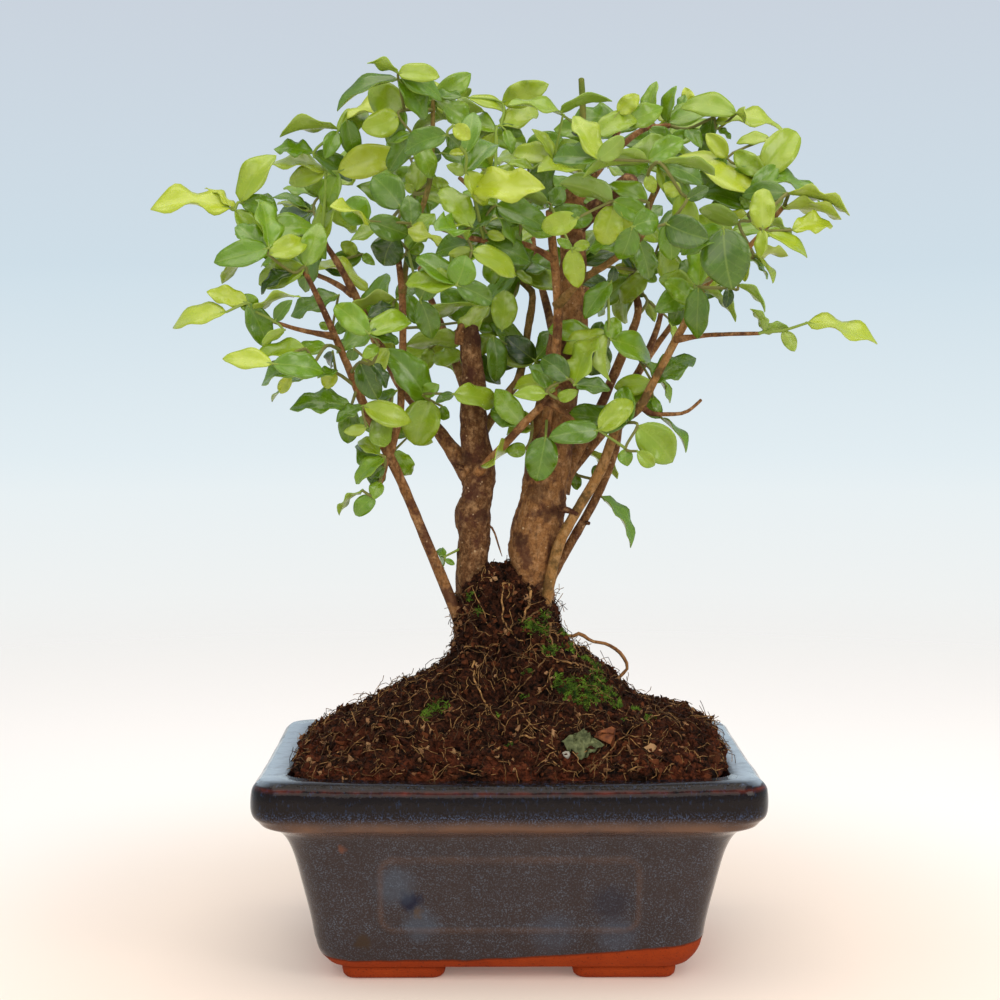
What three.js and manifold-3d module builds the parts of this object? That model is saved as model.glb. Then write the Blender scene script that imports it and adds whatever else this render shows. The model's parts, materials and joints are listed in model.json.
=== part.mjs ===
// A Chinese privet bonsai in a glazed pot. Millimetres, +Z up, origin under the middle of the pot.
import * as THREE from 'three';
import { mergeVertices } from 'three/addons/utils/BufferGeometryUtils.js';
import Module from 'manifold-3d';

const wasm = await Module();
wasm.setup();

// Driving dimensions of the pot
const POT_HEIGHT = 66.9;
const FOOT_HEIGHT = 4.5;
const BODY_DEPTH_LESS = 23;
const CORNER_LIFT = 1;
const LIFT_STARTS = 53;
const FLOOR_TOP = 13;
const FOOT_SIZE = [34, 20];
const FOOT_CENTRE = [37, 24.5];
const DRAIN_HOLE_RADIUS = 5;
const DRAIN_HOLE_X = 27;
const PANEL_HALF = [42, 13.5];
const PANEL_MIDDLE_Z = 30;
const PANEL_RIDGE = 3;
const PANEL_STANDS_OUT = 0.9;
const PANEL_LOW = 19.5;
const PANEL_HIGH = 42.5;
const CORNER_STEPS = 3;

// Driving dimensions of the drain meshes, the soil and the plant
const MESH_SIDE = 20;
const MESH_THICK = 1;
const MESH_HOLE = 6;
const MESH_PITCH = 4;
const GAP = 0.3;
const WALL_GAP = 0.45;
const SOIL_STEPS = 4;
const LEAF_KEEL = 0.4;
const LEAF_FOLD = 0.1;
const LEAF_ARCH = 0.06;
const LEAF_ASPECT = 0.5;
const TWIG_RADIUS = 0.75;
const TWIG_SIDES = 3;
const ROOT_SUNK = 0.5;
const SAME_NODE = 1.6;
const TOUCH = 1e-6;
const SMOOTHING = 0.25;
const CLEAR_OF_LEAF = 1.8;
const CLEAR_AT_LEAST = 1.1;
const CLEAR_OF_TWIG = 0.9;
const TIP_SHIFTS = [0, 5, -5, 10, -10, 15, -15, 20, -20];
const SMALL_LEAF = 12;

// How far the zero that the plant was traced from lies above the surface that the feet stand on
const RAISE = 2.5;

// The plant was traced as it is seen from VIEWPOINT: x and z on the plane y = 0, and a depth y
const VIEWPOINT = new THREE.Vector3(-6.8, -615, 189 + RAISE);

// Wood, each branch a list of [x, z, depth, radius]
const WOOD = {
  leftTrunk: [[-11, 52, 2, 7], [-11.5, 80, 2, 7], [-12, 103, 2, 5.8], [-12.2, 120, 2, 5.5],
    [-11.4, 136, 2, 5.3], [-11.8, 143.5, 2, 6.1], [-10.3, 150, 2, 5], [-10, 159, 2, 5.6],
    [-11.5, 175, 2, 4.4], [-11.8, 190, 2, 3.8], [-13, 205.5, 2, 2.9]],
  rightTrunk: [[5, 52, 0, 9], [6.5, 85, 0, 8], [8, 105, 0, 7], [8.6, 119, 0, 6.8], [8.4, 130, 0, 8.2],
    [10, 141, 0, 8.4], [12, 152, 0, 7.4], [13.5, 163, 0, 7.5], [16.5, 184, 0, 7], [19, 197, 0, 6.5],
    [21, 212, 0, 5.5], [21.5, 225, 0, 4.5], [21.5, 238, 0, 4], [22, 250, 0, 3.5]],
  crown: [[-13, 84, 2, 8], [-4, 90, 0, 9], [7, 84, 0, 9]],
  longLeft: [[-12, 92, -2, 1.9], [-16.5, 108, -3, 1.9], [-19.7, 117, -4, 1.9], [-28, 137, -6, 1.7],
    [-35, 154, -8, 1.6], [-39.7, 164, -10, 1.7], [-46.7, 178, -14, 1.5], [-54, 195.6, -19, 1.2],
    [-58.7, 206.5, -22, 1.1], [-63.4, 217, -25, 0.9], [-67, 224, -28, 0.8]],
  hangingTwig: [[-40.5, 163, -10, 0.8], [-41.5, 157, -12, 0.8], [-43, 153, -13, 0.7]],
  innerLeft: [[-39.5, 164.5, -10, 1.1], [-36.3, 175, -7, 1.2], [-35.4, 184, -5, 1.2], [-34.8, 202, -1, 1.2],
    [-35, 217, 1, 1.1], [-36.5, 231, -3, 1], [-38, 242, -6, 0.8]],
  innerLeftTop: [[-35, 217, 1, 1], [-32.5, 233, 3, 1], [-29, 243, 5, 0.9], [-26, 253, 6, 0.9],
    [-25, 262, 7, 0.8], [-24.6, 280, 8, 0.7]],
  leftLimb: [[-11.5, 158, 2, 3.4], [-17, 163.5, 4, 2.8], [-24, 173, 7, 2], [-34, 185, 11, 1.8],
    [-41, 197, 14, 1.6], [-46, 206.5, 17, 1.4], [-51.5, 218.5, 20, 1.2], [-60, 232.7, 18, 1],
    [-69, 239.5, 10, 0.8]],
  leftLimbFork: [[-51.5, 217, 20, 1], [-58, 221, 30, 0.9], [-65, 224, 38, 0.7]],
  backLeft: [[-11.5, 178, 3, 2], [-19, 199, 22, 1.4], [-28, 222, 38, 1.1], [-31, 236, 48, 0.8]],
  frontTwig: [[15.2, 228.5, -14, 1], [5, 233.5, -20, 0.9], [-5, 234, -26, 0.9], [-15, 236, -32, 0.8],
    [-24, 239, -36, 0.6]],
  frontStem: [[12, 168, -3, 1.9], [12.5, 174, -9, 1.7], [15.5, 195, -11, 1.6], [16.5, 210, -12, 1.5],
    [16, 220, -13, 1.4], [15, 230, -14, 1.4], [13.5, 244, -16, 1.2]],
  frontRightStem: [[16, 213, -12, 1.2], [25, 222, -20, 1.1], [33, 227, -27, 1.1], [44, 236, -34, 1],
    [46, 245, -38, 1], [50, 254, -42, 0.9], [52, 258, -44, 0.8]],
  crossingStem: [[-10, 158, -1, 1.5], [-8, 160, -6, 1.4], [0, 168.5, -11, 1.3], [7, 176, -14, 1.3],
    [17.4, 186, -18, 1.1]],
  crossingTwig: [[13, 181.5, -17, 0.8], [19, 177.5, -18, 0.7], [26.5, 171, -19, 0.6]],
  middleStem: [[-11, 170, 2, 2], [-7.6, 173, 4, 1.7], [0, 184, 9, 1.5], [3.8, 190, 11, 1.4],
    [6.5, 205, 14, 1.3],
    [8, 217, 16, 1.2], [4, 222, 17, 1.1], [2, 235, 19, 1.1], [-4, 245, 21, 1], [-9, 249, 22, 0.9],
    [-16, 255, 24, 0.7]],
  backMiddle: [[18, 188, 3, 2.2], [14, 208, 22, 1.5], [9, 228, 40, 1.1], [8, 240, 52, 0.8]],
  backRight: [[20.5, 208, 3, 2], [29, 225, 22, 1.4], [37, 240, 38, 1.1], [41, 249, 50, 0.8]],
  limbHigh: [[16, 153, 3, 3.4], [20.5, 161, 5, 2.4], [27, 172, 9, 1.8], [32, 183, 12, 1.6],
    [37.4, 196, 16, 1.5],
    [43, 211, 20, 1.3], [40, 222, 22, 1]],
  limbBack: [[17, 154, 5, 2.4], [22, 160, 9, 1.8], [32, 172, 16, 1.5], [37.4, 181.5, 21, 1.4],
    [47, 197, 28, 1.2], [58, 212, 36, 0.9]],
  longRight: [[11, 104, -5, 1.8], [13, 116.6, -6, 1.9], [16.7, 133, -8, 1.8], [21.6, 143, -9, 1.7],
    [30.4, 158, -10, 1.7], [36.4, 173, -11, 1.6], [43.5, 179.5, -12, 1.5], [48, 187.6, -12, 1.4],
    [54, 199, -13, 1.3], [61, 212, -16, 1.2], [66, 221, -19, 1.1], [79, 232, -23, 0.9],
    [91.5, 246.5, -26, 0.7]],
  longRightBehind: [[11, 116, 0, 1.7], [16.7, 127, 1, 1.6], [21, 134.6, 2, 1.5], [29.8, 150.6, 4, 1.4],
    [35.5, 165, 5, 1.3], [38, 181, 6, 1.3], [45, 195, 8, 1.2], [49.7, 207, 10, 1], [51, 215, 11, 0.8]],
  bareTwig: [[44, 180.5, -12, 0.8], [47, 177.7, -12, 0.7], [53, 177.3, -12, 0.6], [59, 178, -12, 0.6],
    [64, 182, -12, 0.5]],
  reachTwig: [[55.5, 202, -14, 0.9], [67, 203.5, -21, 0.7], [83, 204, -28, 0.6]],
  leftReachTwig: [[-57.5, 203, -22, 0.9], [-70, 205.5, -30, 0.7], [-85, 210.5, -37, 0.6]],
  topRight: [[22, 246, 0, 2], [28, 257, 3, 1.3], [35, 268, 6, 1], [38, 275, 8, 0.8]],
  topFarRight: [[28, 256, 3, 1.1], [38, 266, 12, 1], [45, 271, 20, 0.9], [53, 272, 26, 0.8]],
  darkStub: [[22, 240, 0, 2.8], [33, 248, -12, 2.9], [40, 253.5, -22, 3]],
  cutGreenStem: [[22, 248, 0, 1.6], [24, 262, 4, 1.2], [24.5, 276, 5, 1.1], [24, 287, 5, 1]],
  loopRoot: [[10, 96, 2, 1.2], [16, 103.5, 2, 0.8], [21, 103, 2, 0.6], [24, 104, 2, 0.6], [28, 101.5, 2, 0.6],
    [33, 100.5, 2, 0.6], [37.5, 97.5, 2, 0.6], [40, 93, 2, 0.6], [38, 90, 2, 0.6], [34, 86, 2, 0.7]],
};
const WOOD_SIDES = { leftTrunk: 9, rightTrunk: 10, crown: 8, leftLimb: 5, limbHigh: 5, darkStub: 5 };
const BRANCH_SIDES = 4;

// Shoots. Each stands with its foot [x, z, depth] on the wood and reaches to the depth end.
// A leaf is [base x, base z, tip x, tip z, seen width], and U marks one that shows its underside.
const U = 'underside';
const SHOOTS = {
  far_left: { foot: [-69, 239.5, 10], end: -8, leaves: [[-91.5, 245, -117.5, 246, 7],
    [-90, 244.5, -99, 252.5, 2], [-88, 247, -77, 263, 8], [-81, 241, -79, 250, 7],
    [-82, 237, -90, 236.5, 4]] },
  left_top_stem: { foot: [-61.5, 234, 17], end: 8, leaves: [[-60, 257, -80, 260.5, 5],
    [-64, 263, -77, 264.5, 5],
    [-56, 271, -75, 268.7, 4, U], [-56, 270, -60, 261.5, 6], [-56, 257, -35, 263, 11],
    [-53, 274, -31.5, 279, 4.5]] },
  left_top_inner: { foot: [-58.5, 230.5, 18.5], end: 40, leaves: [[-60, 250, -68.5, 256, 7],
    [-62, 249, -74, 251.7, 4], [-66, 245, -77, 249.5, 3], [-66, 244, -76, 247, 3], [-64, 244, -79, 235, 6]] },
  left_tip: { foot: [-66.5, 223, -27.5], end: -38, leaves: [[-79, 232, -97, 227.5, 8],
    [-79, 230, -95, 222.5, 3, U], [-67, 226, -82.5, 220, 9], [-71, 224, -82, 217.5, 4]] },
  left_reach: { foot: [-85, 210.5, -37], end: -46, leaves: [[-86, 214, -99.5, 218, 6],
    [-84, 211.5, -87, 217, 6],
    [-84, 211, -69, 217.5, 2, U], [-93, 211, -111.5, 207, 6], [-77, 208, -71.5, 215, 4],
    [-74, 205, -81.5, 200.5, 3, U]] },
  left_low: { foot: [-55, 198, -19.5], end: -62, leaves: [[-78, 194, -94.5, 196, 6],
    [-67, 199, -84, 195.5, 5],
    [-65, 193.5, -82.5, 188, 6], [-60, 200, -72, 195.5, 5]] },
  left_low_inner: { foot: [-50, 186, -16], end: -30, leaves: [[-64, 191, -79, 182.5, 2],
    [-72, 190, -75.5, 184, 4],
    [-57, 191, -61, 186, 5], [-57, 192, -63, 189.5, 3], [-58, 198, -59, 193, 3], [-52, 180, -72.5, 180, 7]] },
  left_limb_side: { foot: [-46, 206.5, 17], end: 2, leaves: [[-56, 216.5, -72, 210, 6],
    [-58, 206, -62.5, 207, 3],
    [-57, 204, -53, 209, 4], [-46, 204, -57, 198.5, 4], [-55, 205, -42, 209, 2]] },
  left_limb_fork: { foot: [-64, 223.6, 37], end: 46, leaves: [[-66, 228, -45.8, 219.5, 4],
    [-62, 226, -53, 222, 4],
    [-50, 229.5, -55, 234, 5], [-48, 230, -44, 226.5, 3.5]] },
  top_left: { foot: [-24.7, 277, 8], end: -12, leaves: [[-36, 275, -48, 271, 9], [-31, 269, -40, 267, 3],
    [-34, 277, -46, 285, 11], [-36, 287, -56.5, 277.5, 4], [-36, 289, -46, 293, 3, U],
    [-36, 289, -22.5, 288, 6]] },
  top_left_tip: { foot: [-24.6, 280, 8], end: 24, leaves: [[-24, 281.5, -12, 289, 7.5],
    [-25.5, 282, -27, 276, 6, U],
    [-26, 281.5, -31, 286.5, 4], [-24, 281, -15.5, 281.5, 3], [-16, 281, -12, 284, 3, U],
    [-22, 275, -8, 277, 5, U], [-19, 275, -32, 269, 4, U]] },
  top_middle: { foot: [-4, 245, 21], end: 32, leaves: [[-13, 281, 0, 277, 4], [-2, 279.5, 13, 285.3, 9],
    [-2.5, 272, 5, 269, 4.5], [-4, 270, -11, 267, 5, U], [-1, 270.5, 1.5, 263, 4]] },
  front_light: { foot: [-8, 234.7, -28], end: -58, leaves: [[-18, 272, -12.5, 267.5, 5],
    [-20, 269, -16, 265, 5],
    [-14, 263, -19.5, 263, 2.5], [-14, 257, -20, 259, 4, U], [-12, 252, 12, 252, 10]] },
  upper_left: { foot: [-27, 250, 5.7], end: 26, leaves: [[-22, 263, -30, 260, 6], [-32, 261, -40, 267, 5],
    [-31, 250, -34, 253, 3], [-26, 254, -19.5, 253, 4], [-30, 240, -28, 249, 6]] },
  inner_left_tip: { foot: [-38, 242, -6], end: -30, leaves: [[-35, 245, -45, 256, 11],
    [-32, 240, -33, 249.5, 7],
    [-46, 241, -54, 247, 10], [-46, 240, -58, 246.5, 2], [-37, 237.5, -52, 235.5, 4],
    [-37, 238, -20, 233, 4]] },
  front_twig_tip: { foot: [-24, 239, -36], end: -46, leaves: [[-12, 239, -24, 241, 3],
    [-16, 237, -23, 239, 4],
    [-12, 231, -19.5, 230, 4, U], [-17, 220, -14, 229.5, 9]] },
  front_twig_side: { foot: [2, 233.7, -22], end: -34, leaves: [[-4, 246, -15, 251, 5],
    [4, 240, -8, 240.5, 4.5],
    [-8, 240, 1.5, 242.5, 2], [-7, 237, -1, 235, 3.5]] },
  inner_left_upper: { foot: [-36, 228, -2], end: -22, leaves: [[-37, 236, -41, 226, 11],
    [-33, 231, -27.5, 233, 5],
    [-34, 230, -29, 226.5, 5.5], [-29, 215, -23.5, 228.5, 9]] },
  inner_left_middle: { foot: [-34.9, 206, -0.5], end: 26, leaves: [[-30, 206, -11, 215, 4, U],
    [-29.5, 207, -33, 217, 6], [-37, 215, -53, 212, 5, U], [-38, 213, -46, 210, 4], [-36, 206, -40, 209, 3],
    [-13, 208, -22, 219, 10]] },
  middle_stem_side: { foot: [4, 222, 17], end: 4, leaves: [[-2, 205, -1, 219, 9], [3, 223.5, -10, 210.5, 6],
    [-2, 232, -5.5, 225, 5], [2, 224, 8, 220.5, 3], [3, 224, 14, 226, 4]] },
  limb_front: { foot: [-26, 175.5, 8], end: -14, leaves: [[-26.5, 181, -41, 199, 11],
    [-26, 182, -31, 167, 12.5],
    [-22, 180, -20.5, 175.5, 4], [-28, 184, -23, 187, 5], [-18, 184, -24, 181.5, 3]] },
  long_left_middle: { foot: [-52, 191, -18], end: -44, leaves: [[-49, 194.5, -43, 182, 8],
    [-45, 194, -40, 186, 4],
    [-46, 204, -36, 201, 4], [-51, 199, -52, 195, 4], [-43, 200, -48, 196, 4]] },
  left_trunk_top: { foot: [-12.7, 200, 2], end: 24, leaves: [[-15, 201, -34, 200.5, 6, U],
    [-15, 197, -25, 195, 6],
    [-26, 199, -27, 192, 5], [-12, 206.5, -5, 205, 3.5], [-13, 207.5, -17, 205, 3, U]] },
  middle_stem_low: { foot: [5, 197, 12.5], end: 4, leaves: [[-5, 203, -4, 188, 7], [9, 195, -1, 203, 9]] },
  inner_left_low: { foot: [-35.8, 180, -6], end: -24, leaves: [[-37, 185, -43, 182, 3],
    [-38, 184, -44, 176, 6],
    [-48, 180, -57, 175, 4], [-47, 173, -54.5, 171.5, 4, U], [-40, 178, -43, 166, 8, U]] },
  top_right: { foot: [37, 272.5, 7.5], end: -8, leaves: [[17, 276, 34, 280.5, 3, U], [37, 274, 19, 273, 8],
    [29, 269, 21, 270, 4], [36, 276, 43, 282, 6]] },
  top_right_crest: { foot: [46, 271.2, 20.5], end: 40, leaves: [[46, 275, 48.5, 286.5, 5],
    [46, 275, 37.5, 278.5, 5],
    [52, 273, 54.5, 285, 4.5], [52, 273, 47, 278, 4], [49, 271, 54, 268, 4], [57, 274, 57.5, 282.5, 4],
    [60, 277, 58, 284.5, 5]] },
  top_far_right: { foot: [53, 272, 26], end: 12, leaves: [[59, 270, 53, 267, 4], [59, 271, 63.5, 265, 5],
    [67, 274.5, 73, 278, 3], [68, 273, 91, 271.5, 5], [69, 271, 73.5, 268, 2], [75, 276, 79, 273, 3.5, U]] },
  front_right_tip: { foot: [52, 258, -44], end: -60, leaves: [[49, 260, 47, 269.5, 13, U],
    [29.5, 261, 38, 268.5, 6, U], [46, 260.5, 24, 256.5, 5, U]] },
  fork_top: { foot: [22, 250, 0], end: -16, leaves: [[24, 256, 18, 268, 10, U], [23, 256, 10.5, 259, 2],
    [15, 261, 8, 271, 3.5], [18, 275.5, 0, 279, 3], [8, 258, 0, 260, 3]] },
  front_right_stem: { foot: [43, 235, -33.5], end: -56, leaves: [[34.5, 247.5, 17, 253.5, 7, U],
    [35, 246, 31, 233, 9], [46, 247, 33, 253, 6], [23, 242, 22, 245, 3]] },
  front_stem_top: { foot: [13.5, 243.5, -16], end: -32, leaves: [[13, 247, 1, 249, 4, U],
    [14, 246, 18, 252, 6],
    [21, 232, 16, 235, 3], [21.5, 232, 27, 233.5, 3.5]] },
  right_front: { foot: [48, 249.5, -40], end: -72, leaves: [[41, 239, 50, 241, 8], [52, 240, 66, 235, 10],
    [46, 256, 48, 250, 4], [57, 250, 51, 253, 5], [59, 248, 66, 252, 4], [50, 260, 68, 256.5, 3, U]] },
  right_inner: { foot: [77, 230.3, -22.5], end: -6, leaves: [[76, 240, 63, 245.5, 6, U],
    [76, 248, 66, 245, 5, U],
    [79, 243, 72, 243, 3], [80, 245, 76.5, 249, 3], [80, 241, 85.5, 237.5, 3], [79, 229, 78, 221, 3.5],
    [80, 229, 86, 222, 1.5], [81, 230, 88, 221, 1.2], [82, 230, 92, 230.5, 3.5, U]] },
  right_top: { foot: [87, 241.3, -25], end: -4, leaves: [[84, 256.5, 95, 270.5, 11],
    [72, 261.5, 65, 269.5, 6],
    [86, 268, 75, 267, 4], [84, 256, 103.5, 248, 4.5], [80, 250, 54, 262, 8]] },
  far_right: { foot: [91, 246, -26], end: -38, leaves: [[92, 250, 113, 244, 3, U], [91, 245, 110, 242, 4, U],
    [93.5, 238, 107.5, 240, 6], [85, 237.5, 99.5, 230, 4], [84, 242, 94, 235, 2.5, U],
    [84, 238, 83, 229, 4]] },
  right_hanging: { foot: [67, 222, -19.5], end: -62, leaves: [[71, 238.5, 74, 218.5, 15],
    [73, 219, 72, 212.5, 3.5],
    [63, 219.5, 76, 209, 2.5, U], [76, 220, 86, 212, 2.5, U]] },
  right_reach: { foot: [83, 204, -28], end: -34, leaves: [[85, 204.5, 80.5, 212.5, 3, U],
    [84, 204.5, 93, 206, 3.5, U],
    [91, 205, 95, 198, 4.5, U], [99, 207.5, 122.5, 201, 5]] },
  limb_high_tip: { foot: [40, 222, 22], end: 4, leaves: [[22, 227, 40, 231, 7], [42, 225, 35, 226, 4],
    [46, 223.5, 51, 231, 7], [44, 225, 49, 221, 4], [50, 234, 62, 232, 5]] },
  long_right_upper: { foot: [62, 214, -16.5], end: -2, leaves: [[60, 221, 58.5, 228.5, 6],
    [61.5, 219, 49, 211.5, 9],
    [63, 219, 64, 207.5, 3], [61, 211, 64, 204, 2, U]] },
  right_trunk_front: { foot: [20.5, 206, -4], end: -20, leaves: [[28, 203, 27.5, 190, 12],
    [28, 202, 31, 208, 5],
    [34, 202, 35, 209.5, 6], [33, 204, 33, 188, 5, U], [33, 219, 20, 221.5, 5], [34, 221, 35, 226, 3.5]] },
  limb_high_side: { foot: [42.3, 209, 19.5], end: 30, leaves: [[40, 224, 33.5, 218.5, 4],
    [41, 220, 45, 216, 4],
    [46, 215, 48.5, 208, 4, U], [53, 209, 54.5, 202, 2]] },
  crossing_tip: { foot: [17, 185.6, -18], end: -30, leaves: [[20, 189, 11, 196, 8], [13, 185.5, 8, 194, 6],
    [12.5, 184, 2, 184, 5], [16.5, 182.5, 23, 185, 4], [22, 187, 34, 185.5, 5]] },
  crossing_low: { foot: [5, 173.8, -13], end: -6, leaves: [[8, 176, 0, 176, 4], [8, 172.5, -1, 171, 4.5],
    [6, 166, -0.5, 165, 5], [0, 165, -5, 161, 3, U]] },
  trunk_leaf: { foot: [12.8, 176, -9], end: -22, leaves: [[12.5, 170, 9.4, 155, 10.5]] },
  long_right_front: { foot: [36.8, 173.4, -11], end: -26, leaves: [[40, 174.5, 20, 178, 9],
    [30, 172, 14, 170, 8],
    [43, 173.5, 55, 161, 12], [43, 165, 49, 160, 5], [39, 166, 39.7, 160, 5]] },
  long_right_side: { foot: [48, 187.6, -12], end: -2, leaves: [[43, 196, 54.5, 181.5, 3.5],
    [48, 183, 50.5, 177.5, 3],
    [51, 176, 60, 165.4, 1.5]] },
  behind_low: { foot: [30, 151, 4], end: 14, leaves: [[27, 165, 36.5, 156, 4.5, U], [30, 155, 29, 160.5, 4],
    [31, 150, 42, 133.5, 3.5], [22, 158, 23, 152, 4]] },
  long_left_hanging: { foot: [-43, 153.3, -13], end: -20, leaves: [[-42.6, 164, -50, 169, 5],
    [-41, 163, -51, 154.5, 5],
    [-41, 160, -46, 156, 4], [-42.6, 155, -44.6, 149, 5], [-44.6, 150, -51, 143.6, 6],
    [-48.5, 152, -57, 145, 1.5, U]] },
  long_left_side: { foot: [-39.3, 163, -9.5], end: 2, leaves: [[-38, 165, -32, 157, 6],
    [-33, 170, -25, 168, 5, U]] },
  trunk_bud: { foot: [-13, 134, 2], end: -4, leaves: [[-21, 130, -23.5, 132.5, 3],
    [-21, 129, -17.8, 127.2, 2],
    [-21, 129, -22, 126, 2]] },
};

// Shoots that the front hides, grown by a rule round a stem from foot to tip [x, z, depth]
const BACK_SHOOTS = {
  back_left: { foot: [-31, 236, 48], tip: [-38, 256, 58], pairs: 4 },
  back_middle: { foot: [8, 240, 52], tip: [6, 266, 58], pairs: 4 },
  back_right: { foot: [41, 249, 50], tip: [52, 266, 58], pairs: 4 },
  back_far_right: { foot: [58, 212, 36], tip: [74, 238, 50], pairs: 4 },
};
const BACK_LEAF_LENGTH = 17;
const BACK_LEAF_WIDTH = 8;

// Small helpers

// A number from 0 to 1 that looks random and is the same at each run
function chance(seed) {
  const wave = Math.sin(seed * 12.9898 + 78.233) * 43758.5453;
  return wave - Math.floor(wave);
}

// The real place of a point that is seen at x, z on the plane y = 0 and lies at the given depth
function seen(x, z, depth) {
  const onPlane = new THREE.Vector3(x, 0, z + RAISE);
  const stretch = (depth - VIEWPOINT.y) / -VIEWPOINT.y;
  return onPlane.sub(VIEWPOINT).multiplyScalar(stretch).add(VIEWPOINT);
}

function geometryFrom(points, triangles) {
  const geometry = new THREE.BufferGeometry();
  const flat = points.flatMap((point) => [point.x, point.y, point.z]);
  geometry.setAttribute('position', new THREE.Float32BufferAttribute(flat, 3));
  geometry.setIndex(triangles);
  return geometry;
}

// Closed skin over rings of equal length, capped flat or, where an end is a single point, run to it
function skin(rings) {
  const count = Math.max(...rings.map((ring) => ring.length));
  const points = rings.flat();
  const triangles = [];
  let start = 0;
  for (let ring = 0; ring + 1 < rings.length; ring += 1) {
    const next = start + rings[ring].length;
    const [wideHere, wideNext] = [rings[ring].length > 1, rings[ring + 1].length > 1];
    for (let i = 0; i < count; i += 1) {
      const j = (i + 1) % count;
      if (wideHere) triangles.push(start + i, start + j, next + (wideNext ? j : 0));
      if (wideNext) triangles.push(start + (wideHere ? i : 0), next + j, next + i);
    }
    start = next;
  }
  for (let i = 1; i + 1 < count; i += 1) {
    if (rings[0].length > 1) triangles.push(0, i + 1, i);
    if (rings.at(-1).length > 1) triangles.push(start, start + i, start + i + 1);
  }
  return solidFrom(geometryFrom(points, triangles));
}

function solidFrom(geometry) {
  geometry.deleteAttribute('normal');
  geometry.deleteAttribute('uv');
  const merged = mergeVertices(geometry, 1e-5);
  return new wasm.Manifold(new wasm.Mesh({
    numProp: 3,
    vertProperties: new Float32Array(merged.attributes.position.array),
    triVerts: new Uint32Array(merged.index.array),
  }));
}

function moved(geometry, x, y, z) {
  return geometry.translate(x, y, z);
}

function join(solids) {
  return solids.length > 1 ? wasm.Manifold.union(solids) : solids[0];
}

// The outer skin of the biggest piece, with loose scraps dropped and sealed hollows filled
function biggestPiece(solid) {
  const { triVerts, vertProperties } = solid.getMesh();
  const leader = Array.from({ length: vertProperties.length / 3 }, (_, i) => i);
  const find = (i) => {
    while (leader[i] !== i) i = leader[i] = leader[leader[i]];
    return i;
  };
  for (let i = 0; i < triVerts.length; i += 3) {
    leader[find(triVerts[i])] = find(triVerts[i + 1]);
    leader[find(triVerts[i + 1])] = find(triVerts[i + 2]);
  }
  const corner = (i) => new THREE.Vector3().fromArray(vertProperties, 3 * triVerts[i]);
  const pieces = new Map();
  for (let i = 0; i < triVerts.length; i += 3) {
    const name = find(triVerts[i]);
    const piece = pieces.get(name) ?? { volume: 0, triangles: [] };
    piece.volume += corner(i).dot(corner(i + 1).cross(corner(i + 2))) / 6;
    piece.triangles.push(...triVerts.slice(i, i + 3));
    pieces.set(name, piece);
  }
  const best = [...pieces.values()].reduce((a, b) => (b.volume > a.volume ? b : a));
  const triangles = new Uint32Array(best.triangles);
  return new wasm.Manifold(new wasm.Mesh({ numProp: 3, vertProperties, triVerts: triangles }));
}

const group = new THREE.Group();

function addNode(name, solid, colour, roughness, metalness = 0) {
  const mesh = solid.getMesh();
  const geometry = new THREE.BufferGeometry();
  geometry.setAttribute('position', new THREE.Float32BufferAttribute(mesh.vertProperties, 3));
  geometry.setIndex(Array.from(mesh.triVerts));
  geometry.computeVertexNormals();
  const material = new THREE.MeshStandardMaterial({ color: colour, roughness, metalness });
  const node = new THREE.Mesh(geometry, material);
  node.name = name;
  group.add(node);
}

// The pot

function roundedRing(halfX, halfY, corner, z, steps = CORNER_STEPS) {
  const ring = [];
  const centres = [[1, 1], [-1, 1], [-1, -1], [1, -1]];
  centres.forEach(([signX, signY], quarter) => {
    for (let step = 0; step <= steps; step += 1) {
      const angle = (quarter + step / steps) * Math.PI / 2;
      const x = signX * (halfX - corner) + corner * Math.cos(angle);
      const y = signY * (halfY - corner) + corner * Math.sin(angle);
      ring.push(new THREE.Vector3(x, y, z));
    }
  });
  return ring;
}

// Half the width of the pot's body at each height, read off its outline: [z, half width, corner]
const POT_OUTLINE = [[FOOT_HEIGHT, 58.5, 11], [7.5, 60.8, 11.5], [11.5, 62.3, 12], [PANEL_LOW, 63.7, 12.5],
  [30, 66, 13], [PANEL_HIGH, 69, 13], [49.5, 72.3, 12], [53, 77.5, 11], [56.5, 80, 10], [64, 80, 10],
  [POT_HEIGHT, 77.5, 9]];
const POT_INSIDE = [[POT_HEIGHT, 70, 9], [64, 67.8, 9], [54.5, 63.5, 10], [42.5, 61.5, 10],
  [FLOOR_TOP, 56, 9]];

// The rim was pressed by hand, and its corners stand a little higher than the middle of its sides
function potRing([z, half, corner], steps = CORNER_STEPS) {
  const halfY = half - BODY_DEPTH_LESS;
  const ring = roundedRing(half, halfY, corner, z, steps);
  if (z > LIFT_STARTS) {
    ring.forEach((point) => { point.z += CORNER_LIFT * (point.x / half) ** 2 * (point.y / halfY) ** 2; });
  }
  return ring;
}

function feet() {
  const solids = [];
  for (const signX of [-1, 1]) {
    for (const signY of [-1, 1]) {
      const [x, y] = [signX * FOOT_CENTRE[0], signY * FOOT_CENTRE[1]];
      const bottom = roundedRing(FOOT_SIZE[0] / 2 - 1, FOOT_SIZE[1] / 2 - 1, 5, 0, 2);
      const top = roundedRing(FOOT_SIZE[0] / 2, FOOT_SIZE[1] / 2, 5, FOOT_HEIGHT + 1, 2);
      const shift = new THREE.Vector3(x, y, 0);
      solids.push(skin([bottom, top].map((ring) => ring.map((point) => point.add(shift)))));
    }
  }
  return solids;
}

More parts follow.
